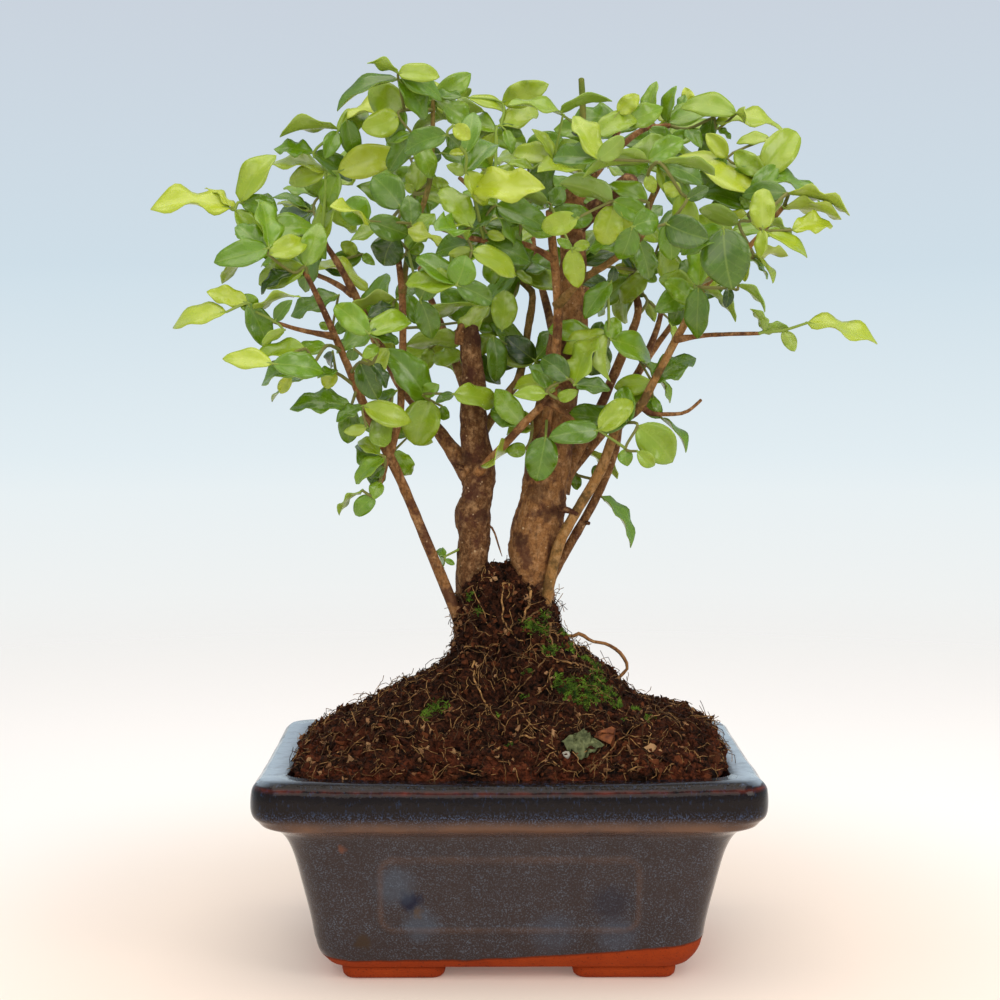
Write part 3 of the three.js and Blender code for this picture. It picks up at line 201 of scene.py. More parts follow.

# %% [markdown]
# ## The layout of the plant
#
# The wood is a list of branches, each a row of points with x, z, depth and radius. The shoots carry the
# leaves. A shoot has a foot on the wood and an end depth, and a leaf is noted as base x, base z, tip x, tip
# z, the width at which it is seen, and a shade from 0, dark, to 9, yellow. The shade is partly the leaf's
# age, young leaves being yellow, and partly painted light: dark for leaves in the crown's shade, yellow for
# leaves lit through from behind. A leaf marked U shows its pale underside. The same lists are in the CAD
# model, so the fine leaves fall on its solids.

# %% The wood's branches
WOOD = {
    "leftTrunk": [(-11, 52, 2, 7), (-11.5, 80, 2, 7), (-12, 103, 2, 5.8), (-12.2, 120, 2, 5.5),
        (-11.4, 136, 2, 5.3), (-11.8, 143.5, 2, 6.1), (-10.3, 150, 2, 5), (-10, 159, 2, 5.6),
        (-11.5, 175, 2, 4.4), (-11.8, 190, 2, 3.8), (-13, 205.5, 2, 2.9)],
    "rightTrunk": [(5, 52, 0, 9), (6.5, 85, 0, 8), (8, 105, 0, 7), (8.6, 119, 0, 6.8), (8.4, 130, 0, 8.2),
        (10, 141, 0, 8.4), (12, 152, 0, 7.4), (13.5, 163, 0, 7.5), (16.5, 184, 0, 7), (19, 197, 0, 6.5),
        (21, 212, 0, 5.5), (21.5, 225, 0, 4.5), (21.5, 238, 0, 4), (22, 250, 0, 3.5)],
    "crown": [(-13, 84, 2, 8), (-4, 90, 0, 9), (7, 84, 0, 9)],
    "longLeft": [(-12, 92, -2, 1.9), (-16.5, 108, -3, 1.9), (-19.7, 117, -4, 1.9), (-28, 137, -6, 1.7),
        (-35, 154, -8, 1.6), (-39.7, 164, -10, 1.7), (-46.7, 178, -14, 1.5), (-54, 195.6, -19, 1.2),
        (-58.7, 206.5, -22, 1.1), (-63.4, 217, -25, 0.9), (-67, 224, -28, 0.8)],
    "hangingTwig": [(-40.5, 163, -10, 0.8), (-41.5, 157, -12, 0.8), (-43, 153, -13, 0.7)],
    "innerLeft": [(-39.5, 164.5, -10, 1.1), (-36.3, 175, -7, 1.2), (-35.4, 184, -5, 1.2),
        (-34.8, 202, -1, 1.2),
        (-35, 217, 1, 1.1), (-36.5, 231, -3, 1), (-38, 242, -6, 0.8)],
    "innerLeftTop": [(-35, 217, 1, 1), (-32.5, 233, 3, 1), (-29, 243, 5, 0.9), (-26, 253, 6, 0.9),
        (-25, 262, 7, 0.8), (-24.6, 280, 8, 0.7)],
    "leftLimb": [(-11.5, 158, 2, 3.4), (-17, 163.5, 4, 2.8), (-24, 173, 7, 2), (-34, 185, 11, 1.8),
        (-41, 197, 14, 1.6), (-46, 206.5, 17, 1.4), (-51.5, 218.5, 20, 1.2), (-60, 232.7, 18, 1),
        (-69, 239.5, 10, 0.8)],
    "leftLimbFork": [(-51.5, 217, 20, 1), (-58, 221, 30, 0.9), (-65, 224, 38, 0.7)],
    "backLeft": [(-11.5, 178, 3, 2), (-19, 199, 22, 1.4), (-28, 222, 38, 1.1), (-31, 236, 48, 0.8)],
    "frontTwig": [(15.2, 228.5, -14, 1), (5, 233.5, -20, 0.9), (-5, 234, -26, 0.9), (-15, 236, -32, 0.8),
        (-24, 239, -36, 0.6)],
    "frontStem": [(12, 168, -3, 1.9), (12.5, 174, -9, 1.7), (15.5, 195, -11, 1.6), (16.5, 210, -12, 1.5),
        (16, 220, -13, 1.4), (15, 230, -14, 1.4), (13.5, 244, -16, 1.2)],
    "frontRightStem": [(16, 213, -12, 1.2), (25, 222, -20, 1.1), (33, 227, -27, 1.1), (44, 236, -34, 1),
        (46, 245, -38, 1), (50, 254, -42, 0.9), (52, 258, -44, 0.8)],
    "crossingStem": [(-10, 158, -1, 1.5), (-8, 160, -6, 1.4), (0, 168.5, -11, 1.3), (7, 176, -14, 1.3),
        (17.4, 186, -18, 1.1)],
    "crossingTwig": [(13, 181.5, -17, 0.8), (19, 177.5, -18, 0.7), (26.5, 171, -19, 0.6)],
    "middleStem": [(-11, 170, 2, 2), (-7.6, 173, 4, 1.7), (0, 184, 9, 1.5), (3.8, 190, 11, 1.4),
        (6.5, 205, 14, 1.3),
        (8, 217, 16, 1.2), (4, 222, 17, 1.1), (2, 235, 19, 1.1), (-4, 245, 21, 1), (-9, 249, 22, 0.9),
        (-16, 255, 24, 0.7)],
    "backMiddle": [(18, 188, 3, 2.2), (14, 208, 22, 1.5), (9, 228, 40, 1.1), (8, 240, 52, 0.8)],
    "backRight": [(20.5, 208, 3, 2), (29, 225, 22, 1.4), (37, 240, 38, 1.1), (41, 249, 50, 0.8)],
    "limbHigh": [(16, 153, 3, 3.4), (20.5, 161, 5, 2.4), (27, 172, 9, 1.8), (32, 183, 12, 1.6),
        (37.4, 196, 16, 1.5),
        (43, 211, 20, 1.3), (40, 222, 22, 1)],
    "limbBack": [(17, 154, 5, 2.4), (22, 160, 9, 1.8), (32, 172, 16, 1.5), (37.4, 181.5, 21, 1.4),
        (47, 197, 28, 1.2), (58, 212, 36, 0.9)],
    "longRight": [(11, 104, -5, 1.8), (13, 116.6, -6, 1.9), (16.7, 133, -8, 1.8), (21.6, 143, -9, 1.7),
        (30.4, 158, -10, 1.7), (36.4, 173, -11, 1.6), (43.5, 179.5, -12, 1.5), (48, 187.6, -12, 1.4),
        (54, 199, -13, 1.3), (61, 212, -16, 1.2), (66, 221, -19, 1.1), (79, 232, -23, 0.9),
        (91.5, 246.5, -26, 0.7)],
    "longRightBehind": [(11, 116, 0, 1.7), (16.7, 127, 1, 1.6), (21, 134.6, 2, 1.5), (29.8, 150.6, 4, 1.4),
        (35.5, 165, 5, 1.3), (38, 181, 6, 1.3), (45, 195, 8, 1.2), (49.7, 207, 10, 1), (51, 215, 11, 0.8)],
    "bareTwig": [(44, 180.5, -12, 0.8), (47, 177.7, -12, 0.7), (53, 177.3, -12, 0.6), (59, 178, -12, 0.6),
        (64, 182, -12, 0.5)],
    "reachTwig": [(55.5, 202, -14, 0.9), (67, 203.5, -21, 0.7), (83, 204, -28, 0.6)],
    "leftReachTwig": [(-57.5, 203, -22, 0.9), (-70, 205.5, -30, 0.7), (-85, 210.5, -37, 0.6)],
    "topRight": [(22, 246, 0, 2), (28, 257, 3, 1.3), (35, 268, 6, 1), (38, 275, 8, 0.8)],
    "topFarRight": [(28, 256, 3, 1.1), (38, 266, 12, 1), (45, 271, 20, 0.9), (53, 272, 26, 0.8)],
    "darkStub": [(22, 240, 0, 2.8), (33, 248, -12, 2.9), (40, 253.5, -22, 3)],
    "cutGreenStem": [(22, 248, 0, 1.6), (24, 262, 4, 1.2), (24.5, 276, 5, 1.1), (24, 287, 5, 1)],
    "loopRoot": [(10, 96, 2, 1.2), (16, 103.5, 2, 0.8), (21, 103, 2, 0.6), (24, 104, 2, 0.6),
        (28, 101.5, 2, 0.6),
        (33, 100.5, 2, 0.6), (37.5, 97.5, 2, 0.6), (40, 93, 2, 0.6), (38, 90, 2, 0.6), (34, 86, 2, 0.7)],
}
print(len(WOOD), "branches")

# %% The shoots' leaves
U = "underside"
SHOOTS = {
    "far_left": ((-69, 239.5, 10), -8, [
        (-91.5, 245, -117.5, 246, 7, 9), (-90, 244.5, -99, 252.5, 2, 9), (-88, 247, -77, 263, 8, 7),
        (-81, 241, -79, 250, 7, 3), (-82, 237, -90, 236.5, 4, 8),]),
    "left_top_stem": ((-61.5, 234, 17), 8, [
        (-60, 257, -80, 260.5, 5, 7), (-64, 263, -77, 264.5, 5, 4), (-56, 271, -75, 268.7, 4, 6, U),
        (-56, 270, -60, 261.5, 6, 4), (-56, 257, -35, 263, 11, 9), (-53, 274, -31.5, 279, 4.5, 9),]),
    "left_top_inner": ((-58.5, 230.5, 18.5), 40, [
        (-60, 250, -68.5, 256, 7, 5), (-62, 249, -74, 251.7, 4, 5), (-66, 245, -77, 249.5, 3, 3),
        (-66, 244, -76, 247, 3, 7), (-64, 244, -79, 235, 6, 2),]),
    "left_tip": ((-66.5, 223, -27.5), -38, [
        (-79, 232, -97, 227.5, 8, 4), (-79, 230, -95, 222.5, 3, 6, U), (-67, 226, -82.5, 220, 9, 6),
        (-71, 224, -82, 217.5, 4, 1),]),
    "left_reach": ((-85, 210.5, -37), -46, [
        (-86, 214, -99.5, 218, 6, 8), (-84, 211.5, -87, 217, 6, 5), (-84, 211, -69, 217.5, 2, 6, U),
        (-93, 211, -111.5, 207, 6, 8), (-77, 208, -71.5, 215, 4, 3), (-74, 205, -81.5, 200.5, 3, 6, U),]),
    "left_low": ((-55, 198, -19.5), -62, [
        (-78, 194, -94.5, 196, 6, 8), (-67, 199, -84, 195.5, 5, 6), (-65, 193.5, -82.5, 188, 6, 4),
        (-60, 200, -72, 195.5, 5, 5),]),
    "left_low_inner": ((-50, 186, -16), -30, [
        (-64, 191, -79, 182.5, 2, 4), (-72, 190, -75.5, 184, 4, 8), (-57, 191, -61, 186, 5, 8),
        (-57, 192, -63, 189.5, 3, 4), (-58, 198, -59, 193, 3, 1), (-52, 180, -72.5, 180, 7, 4),]),
    "left_limb_side": ((-46, 206.5, 17), 2, [
        (-56, 216.5, -72, 210, 6, 3), (-58, 206, -62.5, 207, 3, 5), (-57, 204, -53, 209, 4, 3),
        (-46, 204, -57, 198.5, 4, 4), (-55, 205, -42, 209, 2, 6),]),
    "left_limb_fork": ((-64, 223.6, 37), 46, [
        (-66, 228, -45.8, 219.5, 4, 8), (-62, 226, -53, 222, 4, 2), (-50, 229.5, -55, 234, 5, 7),
        (-48, 230, -44, 226.5, 3.5, 5),]),
    "top_left": ((-24.7, 277, 8), -12, [
        (-36, 275, -48, 271, 9, 7), (-31, 269, -40, 267, 3, 5), (-34, 277, -46, 285, 11, 6),
        (-36, 287, -56.5, 277.5, 4, 3), (-36, 289, -46, 293, 3, 6, U), (-36, 289, -22.5, 288, 6, 7),]),
    "top_left_tip": ((-24.6, 280, 8), 24, [
        (-24, 281.5, -12, 289, 7.5, 5), (-25.5, 282, -27, 276, 6, 4, U), (-26, 281.5, -31, 286.5, 4, 3),
        (-24, 281, -15.5, 281.5, 3, 3), (-16, 281, -12, 284, 3, 6, U), (-22, 275, -8, 277, 5, 5, U),
        (-19, 275, -32, 269, 4, 4, U),]),
    "top_middle": ((-4, 245, 21), 32, [
        (-13, 281, 0, 277, 4, 7), (-2, 279.5, 13, 285.3, 9, 7), (-2.5, 272, 5, 269, 4.5, 3),
        (-4, 270, -11, 267, 5, 5, U), (-1, 270.5, 1.5, 263, 4, 5),]),
    "front_light": ((-8, 234.7, -28), -58, [
        (-18, 272, -12.5, 267.5, 5, 8), (-20, 269, -16, 265, 5, 2), (-14, 263, -19.5, 263, 2.5, 8),
        (-14, 257, -20, 259, 4, 6, U), (-12, 252, 12, 252, 10, 9),]),
    "upper_left": ((-27, 250, 5.7), 26, [
        (-22, 263, -30, 260, 6, 2), (-32, 261, -40, 267, 5, 4), (-31, 250, -34, 253, 3, 7),
        (-26, 254, -19.5, 253, 4, 6), (-30, 240, -28, 249, 6, 4),]),
    "inner_left_tip": ((-38, 242, -6), -30, [
        (-35, 245, -45, 256, 11, 3), (-32, 240, -33, 249.5, 7, 3), (-46, 241, -54, 247, 10, 4),
        (-46, 240, -58, 246.5, 2, 8), (-37, 237.5, -52, 235.5, 4, 6), (-37, 238, -20, 233, 4, 8),]),
    "front_twig_tip": ((-24, 239, -36), -46, [
        (-12, 239, -24, 241, 3, 7), (-16, 237, -23, 239, 4, 4), (-12, 231, -19.5, 230, 4, 8, U),
        (-17, 220, -14, 229.5, 9, 4),]),
    "front_twig_side": ((2, 233.7, -22), -34, [
        (-4, 246, -15, 251, 5, 5), (4, 240, -8, 240.5, 4.5, 3), (-8, 240, 1.5, 242.5, 2, 7),
        (-7, 237, -1, 235, 3.5, 7),]),
    "inner_left_upper": ((-36, 228, -2), -22, [
        (-37, 236, -41, 226, 11, 1), (-33, 231, -27.5, 233, 5, 5), (-34, 230, -29, 226.5, 5.5, 2),
        (-29, 215, -23.5, 228.5, 9, 3),]),
    "inner_left_middle": ((-34.9, 206, -0.5), 26, [
        (-30, 206, -11, 215, 4, 5, U), (-29.5, 207, -33, 217, 6, 4), (-37, 215, -53, 212, 5, 7, U),
        (-38, 213, -46, 210, 4, 1), (-36, 206, -40, 209, 3, 4), (-13, 208, -22, 219, 10, 4),]),
    "middle_stem_side": ((4, 222, 17), 4, [
        (-2, 205, -1, 219, 9, 6), (3, 223.5, -10, 210.5, 6, 4), (-2, 232, -5.5, 225, 5, 7),
        (2, 224, 8, 220.5, 3, 6), (3, 224, 14, 226, 4, 4),]),
    "limb_front": ((-26, 175.5, 8), -14, [
        (-26.5, 181, -41, 199, 11, 4), (-26, 182, -31, 167, 12.5, 6), (-22, 180, -20.5, 175.5, 4, 4),
        (-28, 184, -23, 187, 5, 5), (-18, 184, -24, 181.5, 3, 2),]),
    "long_left_middle": ((-52, 191, -18), -44, [
        (-49, 194.5, -43, 182, 8, 2), (-45, 194, -40, 186, 4, 1), (-46, 204, -36, 201, 4, 2),
        (-51, 199, -52, 195, 4, 2), (-43, 200, -48, 196, 4, 5),]),
    "left_trunk_top": ((-12.7, 200, 2), 24, [
        (-15, 201, -34, 200.5, 6, 5, U), (-15, 197, -25, 195, 6, 6), (-26, 199, -27, 192, 5, 6),
        (-12, 206.5, -5, 205, 3.5, 5), (-13, 207.5, -17, 205, 3, 7, U),]),
    "middle_stem_low": ((5, 197, 12.5), 4, [
        (-5, 203, -4, 188, 7, 3), (9, 195, -1, 203, 9, 1),]),
    "inner_left_low": ((-35.8, 180, -6), -24, [
        (-37, 185, -43, 182, 3, 3), (-38, 184, -44, 176, 6, 5), (-48, 180, -57, 175, 4, 3),
        (-47, 173, -54.5, 171.5, 4, 7, U), (-40, 178, -43, 166, 8, 5, U),]),
    "top_right": ((37, 272.5, 7.5), -8, [
        (17, 276, 34, 280.5, 3, 5, U), (37, 274, 19, 273, 8, 4), (29, 269, 21, 270, 4, 0),
        (36, 276, 43, 282, 6, 8),]),
    "top_right_crest": ((46, 271.2, 20.5), 40, [
        (46, 275, 48.5, 286.5, 5, 5), (46, 275, 37.5, 278.5, 5, 6), (52, 273, 54.5, 285, 4.5, 5),
        (52, 273, 47, 278, 4, 8), (49, 271, 54, 268, 4, 6), (57, 274, 57.5, 282.5, 4, 4),
        (60, 277, 58, 284.5, 5, 9),]),
    "top_far_right": ((53, 272, 26), 12, [
        (59, 270, 53, 267, 4, 4), (59, 271, 63.5, 265, 5, 4), (67, 274.5, 73, 278, 3, 8),
        (68, 273, 91, 271.5, 5, 7), (69, 271, 73.5, 268, 2, 3), (75, 276, 79, 273, 3.5, 8, U),]),
    "front_right_tip": ((52, 258, -44), -60, [
        (49, 260, 47, 269.5, 13, 5, U), (29.5, 261, 38, 268.5, 6, 5, U), (46, 260.5, 24, 256.5, 5, 5, U),]),
    "fork_top": ((22, 250, 0), -16, [
        (24, 256, 18, 268, 10, 4, U), (23, 256, 10.5, 259, 2, 7), (15, 261, 8, 271, 3.5, 7),
        (18, 275.5, 0, 279, 3, 6), (8, 258, 0, 260, 3, 6),]),
    "front_right_stem": ((43, 235, -33.5), -56, [
        (34.5, 247.5, 17, 253.5, 7, 4, U), (35, 246, 31, 233, 9, 7), (46, 247, 33, 253, 6, 5),
        (23, 242, 22, 245, 3, 3),]),
    "front_stem_top": ((13.5, 243.5, -16), -32, [
        (13, 247, 1, 249, 4, 4, U), (14, 246, 18, 252, 6, 3), (21, 232, 16, 235, 3, 5),
        (21.5, 232, 27, 233.5, 3.5, 6),]),
    "right_front": ((48, 249.5, -40), -72, [
        (41, 239, 50, 241, 8, 3), (52, 240, 66, 235, 10, 2), (46, 256, 48, 250, 4, 7),
        (57, 250, 51, 253, 5, 7), (59, 248, 66, 252, 4, 2), (50, 260, 68, 256.5, 3, 5, U),]),
    "right_inner": ((77, 230.3, -22.5), -6, [
        (76, 240, 63, 245.5, 6, 4, U), (76, 248, 66, 245, 5, 4, U), (79, 243, 72, 243, 3, 8),
        (80, 245, 76.5, 249, 3, 5), (80, 241, 85.5, 237.5, 3, 8), (79, 229, 78, 221, 3.5, 7),
        (80, 229, 86, 222, 1.5, 4), (81, 230, 88, 221, 1.2, 7), (82, 230, 92, 230.5, 3.5, 9, U),]),
    "right_top": ((87, 241.3, -25), -4, [
        (84, 256.5, 95, 270.5, 11, 7), (72, 261.5, 65, 269.5, 6, 8), (86, 268, 75, 267, 4, 7),
        (84, 256, 103.5, 248, 4.5, 4), (80, 250, 54, 262, 8, 8),]),
    "far_right": ((91, 246, -26), -38, [
        (92, 250, 113, 244, 3, 8, U), (91, 245, 110, 242, 4, 8, U), (93.5, 238, 107.5, 240, 6, 8),
        (85, 237.5, 99.5, 230, 4, 7), (84, 242, 94, 235, 2.5, 5, U), (84, 238, 83, 229, 4, 7),]),
    "right_hanging": ((67, 222, -19.5), -62, [
        (71, 238.5, 74, 218.5, 15, 2), (73, 219, 72, 212.5, 3.5, 1), (63, 219.5, 76, 209, 2.5, 5, U),
        (76, 220, 86, 212, 2.5, 5, U),]),
    "right_reach": ((83, 204, -28), -34, [
        (85, 204.5, 80.5, 212.5, 3, 5, U), (84, 204.5, 93, 206, 3.5, 5, U), (91, 205, 95, 198, 4.5, 7, U),
        (99, 207.5, 122.5, 201, 5, 8),]),
    "limb_high_tip": ((40, 222, 22), 4, [
        (22, 227, 40, 231, 7, 1), (42, 225, 35, 226, 4, 8), (46, 223.5, 51, 231, 7, 4),
        (44, 225, 49, 221, 4, 5), (50, 234, 62, 232, 5, 2),]),
    "long_right_upper": ((62, 214, -16.5), -2, [
        (60, 221, 58.5, 228.5, 6, 3), (61.5, 219, 49, 211.5, 9, 4), (63, 219, 64, 207.5, 3, 4),
        (61, 211, 64, 204, 2, 6, U),]),
    "right_trunk_front": ((20.5, 206, -4), -20, [
        (28, 203, 27.5, 190, 12, 2), (28, 202, 31, 208, 5, 2), (34, 202, 35, 209.5, 6, 5),
        (33, 204, 33, 188, 5, 7, U), (33, 219, 20, 221.5, 5, 1), (34, 221, 35, 226, 3.5, 1),]),
    "limb_high_side": ((42.3, 209, 19.5), 30, [
        (40, 224, 33.5, 218.5, 4, 5), (41, 220, 45, 216, 4, 2), (46, 215, 48.5, 208, 4, 6, U),
        (53, 209, 54.5, 202, 2, 6),]),
    "crossing_tip": ((17, 185.6, -18), -30, [
        (20, 189, 11, 196, 8, 2), (13, 185.5, 8, 194, 6, 4), (12.5, 184, 2, 184, 5, 6),
        (16.5, 182.5, 23, 185, 4, 6), (22, 187, 34, 185.5, 5, 2),]),
    "crossing_low": ((5, 173.8, -13), -6, [
        (8, 176, 0, 176, 4, 6), (8, 172.5, -1, 171, 4.5, 6), (6, 166, -0.5, 165, 5, 5),
        (0, 165, -5, 161, 3, 7, U),]),
    "trunk_leaf": ((12.8, 176, -9), -22, [
        (12.5, 170, 9.4, 155, 10.5, 3),]),
    "long_right_front": ((36.8, 173.4, -11), -26, [
        (40, 174.5, 20, 178, 9, 3), (30, 172, 14, 170, 8, 3), (43, 173.5, 55, 161, 12, 6),
        (43, 165, 49, 160, 5, 6), (39, 166, 39.7, 160, 5, 5),]),
    "long_right_side": ((48, 187.6, -12), -2, [
        (43, 196, 54.5, 181.5, 3.5, 5), (48, 183, 50.5, 177.5, 3, 4), (51, 176, 60, 165.4, 1.5, 4),]),
    "behind_low": ((30, 151, 4), 14, [
        (27, 165, 36.5, 156, 4.5, 7, U), (30, 155, 29, 160.5, 4, 3), (31, 150, 42, 133.5, 3.5, 4),
        (22, 158, 23, 152, 4, 4),]),
    "long_left_hanging": ((-43, 153.3, -13), -20, [
        (-42.6, 164, -50, 169, 5, 6), (-41, 163, -51, 154.5, 5, 5), (-41, 160, -46, 156, 4, 2),
        (-42.6, 155, -44.6, 149, 5, 5), (-44.6, 150, -51, 143.6, 6, 4), (-48.5, 152, -57, 145, 1.5, 5, U),]),
    "long_left_side": ((-39.3, 163, -9.5), 2, [
        (-38, 165, -32, 157, 6, 5), (-33, 170, -25, 168, 5, 7, U),]),
    "trunk_bud": ((-13, 134, 2), -4, [
        (-21, 130, -23.5, 132.5, 3, 4), (-21, 129, -17.8, 127.2, 2, 4), (-21, 129, -22, 126, 2, 5),]),}
BACK_SHOOTS = {
    "back_left": ((-31, 236, 48), (-38, 256, 58), 4),
    "back_middle": ((8, 240, 52), (6, 266, 58), 4),
    "back_right": ((41, 249, 50), (52, 266, 58), 4),
    "back_far_right": ((58, 212, 36), (74, 238, 50), 4),
}
traced_count = sum(len(rows) for foot, end, rows in SHOOTS.values())
print(len(SHOOTS) + len(BACK_SHOOTS), "shoots,", traced_count, "traced leaves")

# %% [markdown]
# ## The pot: glazed stoneware
#
# The real pot was pressed from brown clay, dipped in a dark blue glaze down to a line just above its feet,
# and fired. Its wall leans outwards, its rim is a heavy band, and a low moulded frame runs round a plain
# field on the front and the back. A box with a bevel could stand for it, but the moulded frame and the soft
# rim need a surface that follows measured outlines. So the wall is a stack of rounded rectangles, close
# enough together to carry the frame as true relief, and the drain holes are cut afterwards.

# %% The pot's outline
POT_OUTLINE = [(4.5, 58.5, 11), (7.5, 60.8, 11.5), (11.5, 62.3, 12), (19.5, 63.7, 12.5), (30, 66, 13),
    (42.5, 69, 13), (49.5, 72.3, 12), (53, 77.5, 11), (56.5, 80, 10), (64, 80, 10), (66.9, 77.5, 9)]
POT_INSIDE = [(66.9, 70, 9), (64, 67.8, 9), (54.5, 63.5, 10), (42.5, 61.5, 10), (13, 56, 9)]
BODY_DEPTH_LESS = 23


def smooth_rows(rows, steps):
    out = []
    for i in range(len(rows) - 1):
        before, a, b, after = rows[max(i - 1, 0)], rows[i], rows[i + 1], rows[min(i + 2, len(rows) - 1)]
        for step in range(steps):
            t = step / steps
            out.append([0.5 * (2 * q + (r - p) * t + (2 * p - 5 * q + 4 * r - s) * t ** 2
                + (3 * q - p - 3 * r + s) * t ** 3) for p, q, r, s in zip(before, a, b, after)])
    return out + [list(rows[-1])]


outside_rows = smooth_rows(POT_OUTLINE, 8)
inside_rows = smooth_rows(POT_INSIDE, 5)
print(len(outside_rows), "levels outside and", len(inside_rows), "inside")

# %% The moulded frame
PANEL_HALF = (42, 13.5)
PANEL_CORNER = 6
PANEL_MIDDLE_Z = 30
PANEL_RIDGE = 3
PANEL_STANDS_OUT = 0.9
PANEL_BELOW = 45


def panel_relief(x, z):
    """Height of the moulded frame over the wall, from the distance to the frame's outer edge."""
    qx = abs(x) - PANEL_HALF[0] + PANEL_CORNER
    qz = abs(z - PANEL_MIDDLE_Z) - PANEL_HALF[1] + PANEL_CORNER
    outside = math.hypot(max(qx, 0), max(qz, 0)) + min(max(qx, qz), 0) - PANEL_CORNER
    across = -outside / PANEL_RIDGE
    return PANEL_STANDS_OUT * math.sin(math.pi * across) ** 0.8 if 0 < across < 1 else 0


print("the frame's crest stands", panel_relief(0, PANEL_MIDDLE_Z + PANEL_HALF[1] - PANEL_RIDGE / 2), "mm out")

# %% Rings of the wall
LONG_STEPS = 120
SHORT_STEPS = 40
CORNER_STEPS = 10
CORNER_LIFT = 1
LIFT_STARTS = 53
HAND_PRESSED = 0.3


def ring_point(side, along, half_x, half_y, corner):
    """A point of a rounded rectangle: side 0 to 3, along from 0 to 1 over the straight part."""
    if side % 2 == 0:
        sign = -1 if side == 0 else 1
        return Vector((-sign * (2 * along - 1) * (half_x - corner), sign * half_y, 0))
    sign = 1 if side == 1 else -1
    return Vector((sign * half_x, sign * (2 * along - 1) * (half_y - corner), 0))


def pot_ring(z, half_x, corner, relief=False):
    half_y = half_x - BODY_DEPTH_LESS
    ring = []
    for side in range(4):
        steps = LONG_STEPS if side % 2 == 0 else SHORT_STEPS
        for i in range(steps):
            point = ring_point(side, i / steps, half_x, half_y, corner)
            if relief and side % 2 == 0:
                point.y += math.copysign(panel_relief(point.x, z), point.y)
            ring.append(point + Vector((0, 0, z)))
        start = math.radians(side * 90 - 90)
        to_x = 1 if side < 2 else -1
        to_y = 1 if 0 < side < 3 else -1
        centre = Vector((to_x * (half_x - corner), to_y * (half_y - corner), z))
        for i in range(CORNER_STEPS):
            angle = start + math.radians(90) * i / CORNER_STEPS
            ring.append(centre + corner * Vector((math.cos(angle), math.sin(angle), 0)))
    for point in ring:
        point.z += CORNER_LIFT * max(0, min(1, z - LIFT_STARTS)) * (point.x / half_x * point.y / half_y) ** 2
        pressed = HAND_PRESSED * max(0, min(1, (z - LIFT_STARTS) / 5))
        point += Vector((point.x / half_x, point.y / half_y, 0.8)) * pressed * noise.noise(point / 16)
    return ring


def loft(rings, first_cap=True, last_cap=True):
    """Faces between closed rings of equal length, with the faces outwards where the rings run upwards."""
    count = len(rings[0])
    faces = []
    for level in range(len(rings) - 1):
        low, high = level * count, (level + 1) * count
        faces += [(low + i, low + (i + 1) % count, high + (i + 1) % count, high + i) for i in range(count)]
    if first_cap:
        faces.append(tuple(reversed(range(count))))
    if last_cap:
        faces.append(tuple(range((len(rings) - 1) * count, len(rings) * count)))
    return [point for ring in rings for point in ring], faces


pot_rings = [pot_ring(z, half, corner, relief=z < PANEL_BELOW)
    for z, half, corner in outside_rows + inside_rows]
print(len(pot_rings), "rings of", len(pot_rings[0]), "points")

# %% Make the body and cut the drain holes
DRAIN_HOLE_RADIUS = 5
DRAIN_HOLE_X = 27

pot = piece("pot_body", *loft(pot_rings), "glazed_stoneware")

pegs = bmesh.new()
for x in (-DRAIN_HOLE_X, DRAIN_HOLE_X):
    made = bmesh.ops.create_cone(pegs, cap_ends=True, segments=40, radius1=DRAIN_HOLE_RADIUS * MM,
        radius2=DRAIN_HOLE_RADIUS * MM, depth=30 * MM)
    bmesh.ops.translate(pegs, verts=made["verts"], vec=(x * MM, 0, 5 * MM))
peg_mesh = bpy.data.meshes.new("drain_pegs")
pegs.to_mesh(peg_mesh)
pegs.free()
peg_object = bpy.data.objects.new("drain_pegs", peg_mesh)
bpy.context.scene.collection.objects.link(peg_object)
cut = pot.modifiers.new("drain", "BOOLEAN")
cut.operation = "DIFFERENCE"
cut.object = peg_object


def apply_modifiers(made):
    """The evaluated shape becomes the object's own plain mesh, and its modifiers go."""
    graph = bpy.context.evaluated_depsgraph_get()
    result = bpy.data.meshes.new_from_object(made.evaluated_get(graph), depsgraph=graph)
    made.modifiers.clear()
    made.data = result
    return result


def append_mesh(made, points, faces, smooth=True):
    whole = bmesh.new()
    whole.from_mesh(made.data)
    corners = [whole.verts.new(point * MM) for point in points]
    for face in faces:
        whole.faces.new([corners[i] for i in face]).smooth = smooth
    whole.to_mesh(made.data)
    whole.free()


apply_modifiers(pot)
bpy.data.objects.remove(peg_object)
print("pot with two drain holes:", triangles(pot), "triangles")

# %% Add four feet and roughen the bare clay
FOOT_SIZE = (34, 20)
FOOT_CENTRE = (37, 24.5)
FOOT_HEIGHT = 4.5
FOOT_CORNER = 5
FOOT_LEVELS = [(3.2, 0), (1.4, 0.25), (0.5, 1), (0.1, 2.2), (0, FOOT_HEIGHT + 0.8)]
ROUGH_CLAY_BELOW = 13


def foot_ring(centre_x, centre_y, inset, z):
    half_x, half_y = FOOT_SIZE[0] / 2 - inset, FOOT_SIZE[1] / 2 - inset
    corner = FOOT_CORNER - inset
    ring = []
    for quarter, (sign_x, sign_y) in enumerate([(1, 1), (-1, 1), (-1, -1), (1, -1)]):
        for step in range(8):
            angle = math.radians(90) * (quarter + step / 7)
            ring.append(Vector((centre_x + sign_x * (half_x - corner) + corner * math.cos(angle),
                centre_y + sign_y * (half_y - corner) + corner * math.sin(angle), z)))
    return ring


